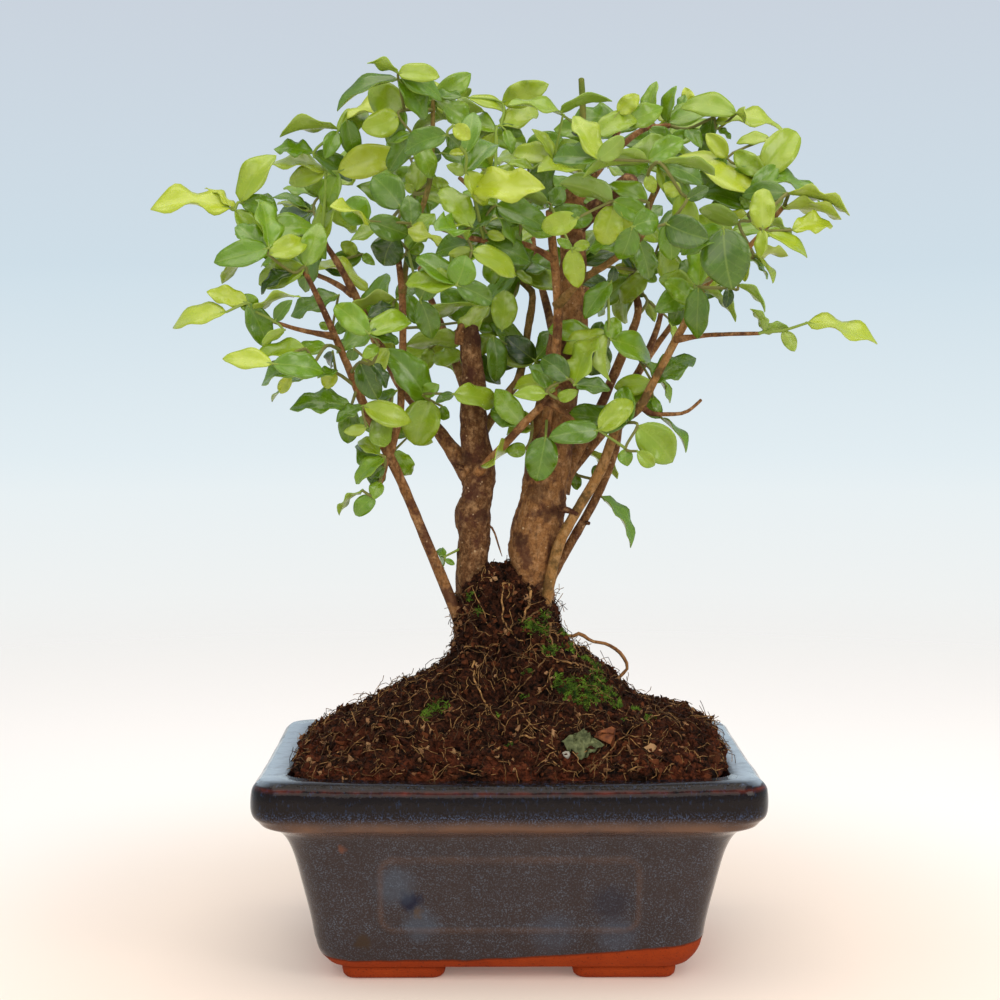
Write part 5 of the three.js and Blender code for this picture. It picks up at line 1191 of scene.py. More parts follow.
# %% [markdown]
# ## Leaves: glossy blades, thin and lit through
#
# A privet leaf is an oval with a short point, folded a little along its pale middle rib, with a margin that
# waves up and down. A flat card with a picture of a leaf looks right from one side only. So each leaf is a
# closed thin blade with its own wave, droop and fold, on a short stalk. A few dozen faces carry it, because
# there are hundreds. A value called shade goes from dark old leaves to young yellow ones, and it also carries
# painted light: deep green for leaves in the crown's shade, yellow for leaves lit through from behind.
# Another value marks the underside.

# %% One blade
BLADE_ROWS = 13
BLADE_COLUMNS = 6
BLADE_THICK = 0.28
RIB_DEEP = 0.3


def blade_width(along, bluntness):
    return max(0.03, math.sin(math.pi * min(1, along ** 0.88)) ** bluntness) if 0 < along < 1 else 0.03


def blade_mesh(leaf, seed):
    bluntness = 0.46 + 0.3 * chance(seed)
    wave = (0.2 + 0.8 * chance(seed + 1)) * leaf["half_width"] * 0.4
    waves = 1.2 + 1.3 * chance(seed + 6)
    phase = 6.28 * chance(seed + 2)
    droop = leaf["length"] * (0.02 + 0.1 * chance(seed + 3))
    extra_fold = leaf["half_width"] * (0.32 * chance(seed + 4) - 0.02)
    swerve = leaf["half_width"] * 0.34 * (chance(seed + 5) - 0.5)
    upper, lower, across_along = [], [], []
    for row in range(BLADE_ROWS + 1):
        along = row / BLADE_ROWS
        width = blade_width(along, bluntness)
        for column in range(BLADE_COLUMNS + 1):
            out = 2 * column / BLADE_COLUMNS - 1
            height = extra_fold * abs(out) * width - droop * max(0, along - 0.55) ** 2 / 0.2
            angle = 2 * math.pi * waves * along + phase + (2 if out < 0 else 0)
            height += wave * out * out * width * math.sin(angle)
            point = blade_point(leaf, along, out * width, height)
            point += leaf["across"] * swerve * math.sin(math.pi * along)
            rib = RIB_DEEP * (1 - 0.7 * along) if out == 0 else 0
            upper.append(point + leaf["normal"] * (BLADE_THICK / 2 - 0.4 * rib))
            lower.append(point - leaf["normal"] * (BLADE_THICK / 2 + rib))
            across_along.append((out * width, along, out))
    return upper, lower, across_along


def blade_faces(start):
    wide = BLADE_COLUMNS + 1
    size = (BLADE_ROWS + 1) * wide
    faces = []
    for row in range(BLADE_ROWS):
        for column in range(BLADE_COLUMNS):
            a = row * wide + column
            faces.append((a, a + wide, a + wide + 1, a + 1))
            faces.append((size + a, size + a + 1, size + a + wide + 1, size + a + wide))
        left, right = row * wide, row * wide + BLADE_COLUMNS
        faces.append((left, size + left, size + left + wide, left + wide))
        faces.append((right, right + wide, size + right + wide, size + right))
    for column in range(BLADE_COLUMNS):
        a, b = column, BLADE_ROWS * wide + column
        faces.append((a, a + 1, size + a + 1, size + a))
        faces.append((b, size + b, size + b + 1, b + 1))
    return [tuple(start + i for i in face) for face in faces]


def blade_smooth():
    """True for the two broad faces of a blade, and False for its margin, which stays a crisp edge."""
    one_row = [True] * (2 * BLADE_COLUMNS) + [False] * 2
    return one_row * BLADE_ROWS + [False] * (2 * BLADE_COLUMNS)


print("one leaf has", 2 * len(blade_faces(0)), "triangles")

# %% Twigs and stalks of a shoot
STALK_RADIUS = 0.36
TWIG_SEEN_RADIUS = 0.52
TWIG_MESH_SIDES = 7
STALK_SIDES = 5
OLD_SHOOT_GREEN, SHORT_SHOOT_GREEN, STALK_GREEN = 0.3, 0.65, 0.8
BLADE, TWIG = 0, 1
YOUNG_SHOOTS = {"left_top_stem": 0.9, "top_middle": 0.9, "far_left": 0.8, "top_left_tip": 0.8,
    "fork_top": 0.8, "right_trunk_front": 0.75, "top_right": 0.6, "right_reach": 0.8, "left_reach": 0.7,
    "front_light": 0.7}


def curved(points, steps=4):
    """A soft line through the joints of a twig."""
    rows = [tuple(p) for p in points]
    return [Vector(row) for row in smooth_rows(rows, steps)]


def shoot_parts(shoot, leaves, seed):
    """The points and faces of a shoot, with shade, green, underside and material for each."""
    points, faces, kinds, soft = [], [], [], []
    shades, undersides, greens, flats = [], [], [], []

    def take(new_points, new_faces, kind, shade, green):
        start = len(points)
        points.extend(new_points)
        faces.extend(tuple(start + i for i in face) for face in new_faces)
        kinds.extend([kind] * len(new_faces))
        soft.extend([True] * len(new_faces))
        shades.extend([shade] * len(new_points))
        greens.extend([green] * len(new_points))
        undersides.extend([0.0] * len(new_points))
        flats.extend([(0.5, 0.0)] * len(new_points))

    for number, run in enumerate(shoot["runs"]):
        line = curved([joint["point"] for joint in run])
        root_height = run[0]["height"]
        first = TWIG_SEEN_RADIUS * (1.2 if root_height > 2 else 1)
        radii = [first * (1.0 - 0.35 * i / len(line)) for i in range(len(line))]
        rings = sweep(line, radii, TWIG_MESH_SIDES, bark_lift(0.04))
        usual_green = OLD_SHOOT_GREEN if root_height > 1 else SHORT_SHOOT_GREEN
        take(*loft(rings), TWIG, 0.5, YOUNG_SHOOTS.get(shoot["name"], usual_green))
    for number, leaf in enumerate(leaves):
        stalk_end = blade_point(leaf, 0.1, 0, -BLADE_THICK / 2)
        line = curved([leaf["root"] - leaf["axis"] * 0.5, leaf["base"] + leaf["normal"] * 0.1, stalk_end], 3)
        if (line[1] - line[0]).length > 1e-3:
            take(*loft(sweep(line, [STALK_RADIUS] * len(line), STALK_SIDES)), TWIG, 0.5, STALK_GREEN)
        upper, lower, marks = blade_mesh(leaf, seed + 11 * number)
        shade = leaf["shade"] / 9 + 0.06 * (chance(seed + number) - 0.5)
        start = len(points)
        points.extend(upper + lower)
        faces.extend(blade_faces(start))
        kinds.extend([BLADE] * len(blade_faces(0)))
        soft.extend(blade_smooth())
        shades.extend([shade] * (2 * len(upper)))
        greens.extend([1.0] * (2 * len(upper)))
        undersides.extend([0.0] * len(upper) + [1.0] * len(lower))
        flats.extend([(0.5 + 0.5 * across, along) for across, along, out in marks] * 2)
    values = {"shade": shades, "underside": undersides, "twig_green": greens}
    return points, faces, (kinds, soft), values, flats

# %% [markdown]
# ### The leaf's finish
#
# The upper face is waxy and mirrors the soft light, so old leaves turn from deep green to a grey sheen. The
# lower face is paler and duller. Light that falls through a blade comes out yellow-green, so a little of it
# is let into the surface. Pale veins run from the middle rib to the margin. They are drawn from the blade's
# own map, across and along, so that they follow each leaf however it bends.

# %% Waxy leaf
VEINS_ON_A_SIDE = 6

leaf_skin, tree, in_mm = open_material("privet_leaf_waxy_blade")
blade_place = add(tree, "ShaderNodeUVMap", uv_map="blade")
across, along = add(tree, "ShaderNodeSeparateXYZ", {0: blade_place}).outputs[:2]
marked_shade, underside = (add(tree, "ShaderNodeAttribute", attribute_name=name).outputs["Fac"]
    for name in ("shade", "underside"))
mottle = add(tree, "ShaderNodeTexNoise", {"Vector": in_mm, "Scale": 1 / 5, "Detail": 3, "Roughness": 0.6})
shade_here = add(tree, "ShaderNodeMath", {0: mottle, 1: 0.24, 2: -0.12}, operation="MULTIPLY_ADD")
shade_here = add(tree, "ShaderNodeMath", {0: marked_shade, 1: shade_here}, operation="ADD")
# The shade value paints age and light together: low values give the deep green of old leaves and of leaves in
# the crown's shade, high values the yellow of young leaves and of leaves lit through from behind.
deep_green_old_and_shaded = coat(tree, "#213a06", "#638808", shade_here, 0.05, 0.5)
upper_face = coat(tree, deep_green_old_and_shaded, "#a6b32c", shade_here, 0.5, 0.95)
off_rib = add(tree, "ShaderNodeMath", {0: across, 1: 0.5}, operation="SUBTRACT")
off_rib = add(tree, "ShaderNodeMath", {0: off_rib}, operation="ABSOLUTE")
rib = add(tree, "ShaderNodeMapRange", {0: off_rib, 1: 0.004, 2: 0.03, 3: 0.2, 4: 0})
slanted = add(tree, "ShaderNodeMath", {0: off_rib, 1: -0.7, 2: along}, operation="MULTIPLY_ADD")
turned = add(tree, "ShaderNodeMath", {0: slanted, 1: 2 * math.pi * VEINS_ON_A_SIDE}, operation="MULTIPLY")
side_wave = add(tree, "ShaderNodeMath", {0: turned}, operation="COSINE")
side_veins = add(tree, "ShaderNodeMapRange", {0: side_wave, 1: 0.85, 2: 1, 4: 0.08})
veins = add(tree, "ShaderNodeMath", {0: rib, 1: side_veins}, operation="MAXIMUM")
veined = add(tree, "ShaderNodeMix", {0: veins, 6: upper_face, 7: "#adbd58"}, data_type="RGBA")
veined = coat(tree, veined, "#a3b238", off_rib, 0.45, 0.5, 0.2)
both_faces = coat(tree, veined, "#98aa4e", underside, 0, 1, 0.45)
blister = add(tree, "ShaderNodeMath", {0: side_wave, 1: 0.15, 2: mottle}, operation="MULTIPLY_ADD")
bump = add(tree, "ShaderNodeBump", {"Height": blister, "Distance": 0.3 * MM, "Strength": 0.1})
sheen = add(tree, "ShaderNodeMapRange", {0: mottle, 1: 0.3, 2: 0.7, 3: 0.22, 4: 0.3})
close_material(tree, {"Base Color": both_faces, "Roughness": sheen, "Normal": bump, "Subsurface Weight": 0.15,
    "Subsurface Radius": (0.8, 1.0, 0.1), "Subsurface Scale": 0.5 * MM, "Specular IOR Level": 0.55})
print("side veins about 3 mm apart on a leaf of 18 mm")

# %% Twig skin
twig_skin, tree, in_mm = open_material("privet_twig_skin")
twig_green = add(tree, "ShaderNodeAttribute", attribute_name="twig_green").outputs["Fac"]
grain = add(tree, "ShaderNodeTexNoise", {"Vector": in_mm, "Scale": 1 / 1.2, "Detail": 3, "Roughness": 0.55})
brown = add(tree, "ShaderNodeMix", {0: grain, 6: "#3f2a1a", 7: "#7d6140"}, data_type="RGBA")
skin_colour = add(tree, "ShaderNodeMix", {0: twig_green, 6: brown, 7: "#86a03c"}, data_type="RGBA")
close_material(tree, {"Base Color": skin_colour, "Roughness": 0.6, "Specular IOR Level": 0.3})
print("twigs turn green on", len(YOUNG_SHOOTS), "young shoots")

# %% Make the shoots
leaf_count, leaf_triangles = 0, 0
for order, shoot in enumerate(shoots):
    leaves = [leaf for leaf in placed if leaf["shoot"] == shoot["name"]]
    points, faces, (kinds, soft), values, flats = shoot_parts(shoot, leaves, 1000 + 97 * order)
    made = piece("leaves_" + shoot["name"], points, faces, "leaf")
    made.data.materials.append(leaf_skin)
    made.data.materials.append(twig_skin)
    made.data.polygons.foreach_set("material_index", kinds)
    made.data.polygons.foreach_set("use_smooth", soft)
    for label, numbers in values.items():
        mark_points(made, label, numbers)
    blade_map = made.data.uv_layers.new(name="blade")
    for loop in made.data.loops:
        blade_map.data[loop.index].uv = flats[loop.vertex_index]
    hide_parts("shoot_" + shoot["name"])
    leaf_count += len(leaves)
    leaf_triangles += triangles(made)
print(leaf_count, "leaves on", len(shoots), "shoots,", leaf_triangles, "triangles")

# %% [markdown]
# ## The soil: a heap of peat
#
# The root ball is heaped well above the rim, because the plant came out of a deep nursery pot. Moist peat
# is nearly black, crumbly and threaded with fine roots. The heap is a smooth hill from measured outlines
# that is then roughened along its own normals in three sizes of noise: lumps, crumbs and grit.

# %% The hill
WALL_GAP = 0.45
SOIL_WALL = [(14.6, 56, 9), (42.5, 61.5, 10), (54.5, 63.5, 10)]
HEAP = [(62.5, -67, 67, 44, 0.3), (66, -68.5, 68.8, 43, 0.35), (71, -63, 68.5, 37.5, 0.8),
    (76, -56.5, 63, 32, 0.85), (79.5, -47, 50, 28, 0.85), (84.5, -39, 40, 23, 0.85),
    (89, -29, 35.5, 20, 0.85), (94.5, -20.5, 29, 17, 0.85),
    (100.5, -17.5, 20.5, 14, 0.85), (106, -17, 16.8, 12, 0.85), (113, -17, 15, 10.5, 0.85),
    (119, -15, 12, 9, 0.85), (126.5, -8, 3, 5, 0.85)]
SOIL_SIDE_STEPS = 34
SOIL_EDGE = 65


def soil_ring(z, left, right, half_depth, roundness):
    half_x, middle = (right - left) / 2, (left + right) / 2
    corner = min(half_x, half_depth) * roundness
    signs = [(1, -1), (1, 1), (-1, 1), (-1, -1), (1, -1)]

    def on_corner(number, angle):
        sign_x, sign_y = signs[number]
        return Vector((middle + sign_x * (half_x - corner) + corner * math.cos(angle),
            sign_y * (half_depth - corner) + corner * math.sin(angle), z))

    ring = []
    parts = [step / SOIL_SIDE_STEPS for step in range(SOIL_SIDE_STEPS)]
    for number in range(4):
        ring += [on_corner(number, math.radians(90) * (number - 1 + part)) for part in parts]
        begin, end = (on_corner(which, math.radians(90) * number) for which in (number, number + 1))
        ring += [begin.lerp(end, part) for part in parts]
    return ring


wall_rings = [soil_ring(z, WALL_GAP - half, half - WALL_GAP, half - BODY_DEPTH_LESS - WALL_GAP,
    corner / (half - BODY_DEPTH_LESS)) for z, half, corner in SOIL_WALL]
heap_rings = [soil_ring(z + RAISE, *others) for z, *others in smooth_rows(HEAP, 11)]
top_ring = heap_rings[-1]
top_middle = sum(top_ring, Vector()) / len(top_ring)
heap_rings += [[top_middle.lerp(point, part) + Vector((0, 0, 1.2 * (1 - part))) for point in top_ring]
    for part in (0.7, 0.4, 0.12)]
soil = piece("peat_soil", *loft(wall_rings + heap_rings), "peat")
risen = []
soil_normals = [vertex.normal.copy() for vertex in soil.data.vertices]
for vertex, normal in zip(soil.data.vertices, soil_normals):
    place = vertex.co / MM
    lumps = 1.5 * noise.noise(place / 5.5)
    clumps = 1.3 * (0.5 - abs(noise.noise(place / 2.3)) * 2.2) + 1.1 * noise.fractal(place / 2.4, 0.7, 2, 3)
    grit = 0.35 * noise.noise(place / 0.8)
    settle = max(0, min(1, (place.z - SOIL_EDGE) / 4))
    vertex.co += normal * (lumps + clumps + grit) * settle * MM
    # risen is how far each point was pushed out; the peat's colour goes almost black where it is low, as
    # painted shade in the hollows between clumps.
    risen.append(0.5 + 0.25 * (clumps + grit + 0.5 * lumps))
mark_points(soil, "risen", risen)
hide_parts("soil")
print("soil:", triangles(soil), "triangles")

# %% Peat
peat, tree, in_mm = open_material("moist_peat")
risen, crumb_tone = (add(tree, "ShaderNodeAttribute", attribute_name=name).outputs["Fac"]
    for name in ("risen", "crumb_tone"))
fine = add(tree, "ShaderNodeTexNoise", {"Vector": in_mm, "Scale": 1 / 1.1, "Detail": 5, "Roughness": 0.72})
rusty = add(tree, "ShaderNodeTexNoise", {"Vector": in_mm, "Scale": 1 / 5, "Detail": 3, "Roughness": 0.55})
rusty = add(tree, "ShaderNodeMapRange", {0: rusty, 1: 0.4, 2: 0.62})
height = add(tree, "ShaderNodeSeparateXYZ", {0: in_mm}).outputs["Z"]
near_rim = add(tree, "ShaderNodeMapRange", {0: height, 1: 82, 2: 68, 3: 0.15, 4: 0.7})
reddish = add(tree, "ShaderNodeMath", {0: rusty, 1: near_rim}, operation="MULTIPLY")
dark = coat(tree, "#0a0503", "#4a2816", fine, 0.4, 0.68)
# Painted shade: the hollows between clumps are darkened almost to black.
dark = coat(tree, dark, "#050302", risen, 0.55, 0.3, 0.92)
dark = coat(tree, dark, "#74371f", fine, 0.35, 0.6, least=0.25, only=reddish)
crumbly = coat(tree, dark, "#7a4326", crumb_tone, 0.72, 1, 0.75)
crumbly = coat(tree, crumbly, "#bd9468", crumb_tone, 0.95, 1, 0.8)
bump = add(tree, "ShaderNodeBump", {"Height": fine, "Distance": 0.9 * MM, "Strength": 0.9})
close_material(tree, {"Base Color": crumbly, "Roughness": 0.9, "Specular IOR Level": 0.12, "Normal": bump})
soil.data.materials.append(peat)
print("peat grain about 1.1 mm wide, and rustier below z 82 mm")

# %% [markdown]
# ### Crumbs and fibres by Geometry Nodes
#
# Thousands of crumbs can't be placed by hand, and a bump map gives no outline against the light. Geometry
# Nodes scatter points over the hill and put a rough little stone of peat on each, turned and scaled at
# random with a fixed seed. A second tree lays thin curved roots in the same way. The result is made a plain
# mesh, because only plain meshes leave Blender well.

# %% A small kit for Geometry Nodes


def new_tree(name, sizes):
    """A tree with named inputs, and a node that scatters points over the given surface."""
    tree = bpy.data.node_groups.new(name, "GeometryNodeTree")
    tree.interface.new_socket("Geometry", in_out="INPUT", socket_type="NodeSocketGeometry")
    for label, kind in {"Density": "Float", **sizes, "Seed": "Int", "Material": "Material"}.items():
        tree.interface.new_socket(label, in_out="INPUT", socket_type="NodeSocket" + kind)
    tree.interface.new_socket("Geometry", in_out="OUTPUT", socket_type="NodeSocketGeometry")
    given = tree.nodes.new("NodeGroupInput").outputs
    return tree, given, add(tree, "GeometryNodeDistributePointsOnFaces", {"Mesh": given["Geometry"],
        "Density": given["Density"], "Seed": given["Seed"]})


def repeat(tree, points, shape, rotation, size, label=None, seed=0):
    """A turned and sized copy of the shape on each point, made real, with a random tone under the label."""
    copies = add(tree, "GeometryNodeInstanceOnPoints", {"Points": points, "Instance": shape,
        "Rotation": rotation, "Scale": size})
    if label:
        tone = add(tree, "FunctionNodeRandomValue", {2: 0.0, 3: 1.0, "Seed": seed}, data_type="FLOAT")
        copies = add(tree, "GeometryNodeStoreNamedAttribute", {"Geometry": copies, "Name": label,
            "Value": tone}, data_type="FLOAT", domain="INSTANCE")
    return add(tree, "GeometryNodeRealizeInstances", {"Geometry": copies})


def sway(tree, shape, scale, reach):
    """Moves each point of a shape by a noise field."""
    field = add(tree, "ShaderNodeTexNoise", {"Scale": scale, "Detail": 2.0}).outputs["Color"]
    way = add(tree, "ShaderNodeVectorMath", {0: field, 1: (0.5, 0.5, 0.5)}, operation="SUBTRACT")
    for part in reach:
        way = add(tree, "ShaderNodeVectorMath", {0: way, "Scale": part}, operation="SCALE")
    return add(tree, "GeometryNodeSetPosition", {"Geometry": shape, "Offset": way})


def end_tree(tree, shape, material):
    painted = add(tree, "GeometryNodeSetMaterial", {"Geometry": shape, "Material": material})
    add(tree, "NodeGroupOutput", {0: painted})


print("each tree scatters points, puts a shape on each, and sets a material")

# %% Run a tree over the hill


def run_tree(name, tree, mesh, values):
    """Puts the tree on a copy of a mesh, sets its inputs, and keeps the result as a plain mesh."""
    made = bpy.data.objects.new(name, mesh.copy())
    bpy.context.scene.collection.objects.link(made)
    modifier = made.modifiers.new(name, "NODES")
    modifier.node_group = tree
    for item in tree.interface.items_tree:
        if item.in_out == "INPUT" and item.name in values:
            modifier[item.identifier] = values[item.name]
    apply_modifiers(made)
    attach(made, "root")
    return made


def heap_surface(name, low, keep=lambda place: True):
    """A copy of the hill's upper faces, to scatter on."""
    surface = bmesh.new()
    surface.from_mesh(soil.data)
    away = [face for face in surface.faces if face.calc_center_median().z < low * MM
        or not keep(face.calc_center_median() / MM)]
    bmesh.ops.delete(surface, geom=away, context="FACES")
    mesh = bpy.data.meshes.new(name)
    surface.to_mesh(mesh)
    surface.free()
    return mesh

heap_mesh = heap_surface("heap_surface", SOIL_EDGE + 1.5)
print(len(heap_mesh.polygons), "faces of the hill to scatter on")

# %% Crumbs
CRUMBS_PER_SQUARE_METRE = 300000.0
CHIPS_PER_SQUARE_METRE = 52000.0
CHIPS_BELOW = 79
DENTS_PER_METRE = 1300.0
DENT_REACH = 2.6

crumb_tree, given, points = new_tree("scatter_crumbs", {"Size": "Float", "Flatness": "Float"})
stone = add(crumb_tree, "GeometryNodeMeshIcoSphere", {"Radius": 1.0, "Subdivisions": 1})
turn, spread = (add(crumb_tree, "FunctionNodeRandomValue", {0: (low,) * 3, 1: high, "Seed": seed},
    data_type="FLOAT_VECTOR") for low, high, seed in (
    (0, (6.28, 6.28, 6.28), given["Seed"]), (0.3, (1.15, 1.0, 0.95), 5)))
flat = add(crumb_tree, "ShaderNodeCombineXYZ", {0: given["Size"], 1: given["Size"], 2: given["Flatness"]})
size = add(crumb_tree, "ShaderNodeVectorMath", {0: spread, 1: flat}, operation="MULTIPLY")
stones = repeat(crumb_tree, points, stone, turn, size, "crumb_tone", 9)
dented = sway(crumb_tree, stones, DENTS_PER_METRE, (DENT_REACH, given["Size"]))
end_tree(crumb_tree, dented, given["Material"])

crumbs = run_tree("peat_crumbs", crumb_tree, heap_mesh, {"Density": CRUMBS_PER_SQUARE_METRE, "Size": 1.1 * MM,
    "Flatness": 0.95 * MM, "Seed": 3, "Material": peat})
low_slope = heap_surface("front_surface", SOIL_EDGE + 1, lambda place: place.z < CHIPS_BELOW)
chips = run_tree("bark_chips", crumb_tree, low_slope, {"Density": CHIPS_PER_SQUARE_METRE, "Size": 2.4 * MM,
    "Flatness": 0.8 * MM, "Seed": 8, "Material": peat})
for made in (crumbs, chips):
    made.data.polygons.foreach_set("use_smooth", [False] * len(made.data.polygons))
print("crumbs:", triangles(crumbs), "chips:", triangles(chips), "triangles")

# %% Fine roots over the peat
FIBRES_PER_SQUARE_METRE = 62000.0
FIBRE_LENGTH = 10.5
FIBRE_RADIUS = 0.13

fibre_tree, given, points = new_tree("scatter_fibres", {"Length": "Float", "Radius": "Float"})
arc = add(fibre_tree, "GeometryNodeCurveQuadraticBezier", {"Resolution": 7, "Start": (-0.5, 0, -0.04),
    "Middle": (0, 0.25, 0.22), "End": (0.5, 0, -0.04)})
spin = add(fibre_tree, "FunctionNodeRandomValue", {0: (-0.45, -0.45, 0), 1: (0.45, 0.45, 6.28),
    "Seed": given["Seed"]}, data_type="FLOAT_VECTOR")
laid = add(fibre_tree, "FunctionNodeRotateRotation", {0: points.outputs["Rotation"], 1: spin},
    rotation_space="LOCAL")
long = add(fibre_tree, "FunctionNodeRandomValue", {2: 0.4, 3: 1.3, "Seed": 4}, data_type="FLOAT")
length = add(fibre_tree, "ShaderNodeMath", {0: long, 1: given["Length"]}, operation="MULTIPLY")
arcs = repeat(fibre_tree, points, arc, laid, length, "root_tone", 6)
swayed = sway(fibre_tree, arcs, 330.0, (5.5 * MM,))
profile = add(fibre_tree, "GeometryNodeCurvePrimitiveCircle", {"Resolution": 3, "Radius": given["Radius"]})
tubes = add(fibre_tree, "GeometryNodeCurveToMesh", {"Curve": swayed, "Profile Curve": profile})
end_tree(fibre_tree, tubes, given["Material"])

root_skin, tree, in_mm = open_material("fine_root_skin")
root_tone = add(tree, "ShaderNodeAttribute", attribute_name="root_tone").outputs["Fac"]
grain = add(tree, "ShaderNodeTexNoise", {"Vector": in_mm, "Scale": 1 / 1.6, "Detail": 4, "Roughness": 0.65})
tan = coat(tree, "#24140a", "#b3854f", root_tone, 0.15, 0.95)
grained = coat(tree, "#2f1c10", tan, grain, 0.35, 0.6)
close_material(tree, {"Base Color": grained, "Roughness": 0.7, "Specular IOR Level": 0.2})

fibres = run_tree("fine_fibres", fibre_tree, heap_mesh, {"Density": FIBRES_PER_SQUARE_METRE,
    "Length": FIBRE_LENGTH * MM, "Radius": FIBRE_RADIUS * MM, "Seed": 12, "Material": root_skin})
print("fibres:", triangles(fibres), "triangles")

# %% [markdown]
# ### Roots that can be told apart
#
# Some two dozen roots are stout enough to be recognised, so they are laid where they are seen: each of
# their points is a sight line, and the root lies where that line meets the peat or the wood.

# %% Lay the surface roots
SURFACE_ROOTS = {
    "collar_left": (0.5, [(-19, 118), (-16, 116.5), (-14.5, 113), (-13.5, 109), (-12, 107), (-10, 105.5)]),
    "collar_rise": (0.4, [(-16, 117), (-13, 119), (-10, 121.5), (-6, 123)]),
    "cleft_fall": (0.5, [(-1.2, 121), (-1.5, 115), (-1.8, 110), (-1, 107), (1, 104.5), (3, 102.5), (6, 102),
        (10, 102.5), (12, 104)]),
    "cleft_hook": (0.4, [(-1.2, 121), (0.8, 119.5), (-0.5, 116)]),
    "stout_middle": (0.8, [(7.3, 119), (7, 114), (6, 110), (5, 108)]),
    "long_fall": (0.45, [(14, 114), (10, 111.5), (6, 109.5), (2, 107), (-0.5, 105), (-2.5, 102), (-3.2, 98),
        (-4.5, 94), (-5.5, 90.5), (-4, 87)]),
    "stout_right": (0.8, [(13.5, 108), (13.8, 104), (14.3, 100.5)]),
    "left_fall": (0.5, [(-11.5, 95), (-11.8, 91), (-10.8, 88), (-10, 85.5), (-8, 81), (-7, 77)]),
    "right_fall": (0.4, [(13, 96), (9.5, 92), (7, 89), (5.5, 87), (1.5, 83)]),
    "left_bow": (0.4, [(-17, 96), (-15, 99), (-12, 100), (-9, 99.5), (-5.5, 98)]),
    "right_slope": (0.55, [(16, 94.5), (20, 94.5), (25, 93), (30, 91), (34, 87), (37, 84)]),
    "right_short": (0.4, [(19, 101.5), (23, 100), (25, 96.5)]),
    "left_low": (0.35, [(-22, 77.5), (-18, 78), (-15.5, 79.5)]),
    "left_line": (0.35, [(-31, 72), (-29.5, 75.5), (-22, 75), (-20, 75)]),
    "left_climb": (0.4, [(-22, 68.5), (-19, 71.5), (-16.5, 76), (-14, 78)]),
    "left_foot": (0.35, [(-15, 68), (-13.5, 72), (-10, 75)]),
    "front_slope": (0.4, [(4, 77), (7, 74), (11, 70.5), (15, 67.5)]),
    "front_mossy": (0.6, [(-5, 63.5), (-2, 66), (3, 68), (7, 69.5), (11, 67.5), (16, 64.5)]),
    "front_pink": (0.4, [(12.5, 63.5), (16, 60), (19, 57)]),
    "front_arch": (0.45, [(28, 57), (33, 63), (38, 68.5), (42, 69.5), (50, 68)]),
    "right_whisker": (0.3, [(37, 86), (41, 87.5), (45, 87)]),
    "right_whisker_low": (0.3, [(37, 85.5), (41, 86), (45, 83)]),
    "front_drop": (0.4, [(22.5, 79), (23.5, 73), (23.7, 69)]),
}


def sight_tree(objects):
    points, faces = [], []
    for made in objects:
        start = len(points)
        points += [vertex.co / MM for vertex in made.data.vertices]
        faces += [tuple(start + i for i in polygon.vertices) for polygon in made.data.polygons]
    return BVHTree.FromPolygons(points, faces)


ground = sight_tree([soil, wood])


def on_ground(x, z, above):
    way = (seen(x, z, 0) - CAMERA_PLACE).normalized()
    place, normal = ground.ray_cast(CAMERA_PLACE, way)[:2]
    return None if place is None else place + normal * above


root_points, root_faces, root_tones = [], [], []
for order, (radius, line) in enumerate(SURFACE_ROOTS.values()):
    spots = [on_ground(x, z, radius * 0.7) for x, z in smooth_rows(line, 4)]
    spots = [spot for spot in spots if spot is not None]
    for i in range(1, len(spots) - 1):
        spots[i] = (spots[i - 1] + spots[i] * 2 + spots[i + 1]) / 4
    for spot in spots:
        field = spot / 2.2
        spot += Vector([0.9 * noise.noise(field + Vector((k * 9, 0, 0))) for k in range(3)])
    radii = [0.72 * radius * (1 - 0.6 * i / len(spots)) for i in range(len(spots))]
    points, faces = loft(sweep(spots, radii, 6, bark_lift(0.08)))
    root_faces += [tuple(len(root_points) + i for i in face) for face in faces]
    root_points += points
    root_tones += [0.35 + 0.65 * chance(order * 7)] * len(points)
surface_roots = piece("surface_roots", root_points, root_faces, "bark")
surface_roots.data.materials.append(root_skin)
mark_points(surface_roots, "root_tone", root_tones)
print("surface roots:", triangles(surface_roots), "triangles")

# %% [markdown]
# ### Litter
#
# A dead leaf, dry and folded like a fan, a curl of brown leaf and a pale pebble lie on the front slope.
# They are small, but the eye rests on them because nothing else there has their colour.

# %% Dead leaf, brown leaf and pebble
FAN_FOOT = (25.5, 71)
FAN_REACH = 9
FAN_PLEATS = 5
FAN_OPENS = (212, 324)
FAN_ROWS = 6
FAN_COLUMNS = 24
CURL = [(29.5, 68.5), (31.5, 71.3), (34, 70.8), (36.2, 69.8), (35.5, 67.2), (33, 66.6)]
DRY_LEAF_THICK = 0.25
PEBBLE = (19.5, 62.8)
PEBBLE_HALF_SIZES = (1.5, 1.3, 1.2)


def sheet_on_ground(name, rows, height, kind):
    """A thin sheet over rows of sight lines, each point lifted off the ground by height(row, column)."""
    points = [on_ground(x, z, height(i, j)) for i, row in enumerate(rows) for j, (x, z) in enumerate(row)]
    wide = len(rows[0])
    faces = [(i * wide + j, (i + 1) * wide + j, (i + 1) * wide + j + 1, i * wide + j + 1)
        for i in range(len(rows) - 1) for j in range(wide - 1)]
    made = piece(name, points, faces, "leaf")
    solid = made.modifiers.new("thick", "SOLIDIFY")
    solid.thickness = DRY_LEAF_THICK * MM
    solid.offset = 0
    apply_modifiers(made)
    made.data.materials.append(kind)
    return made


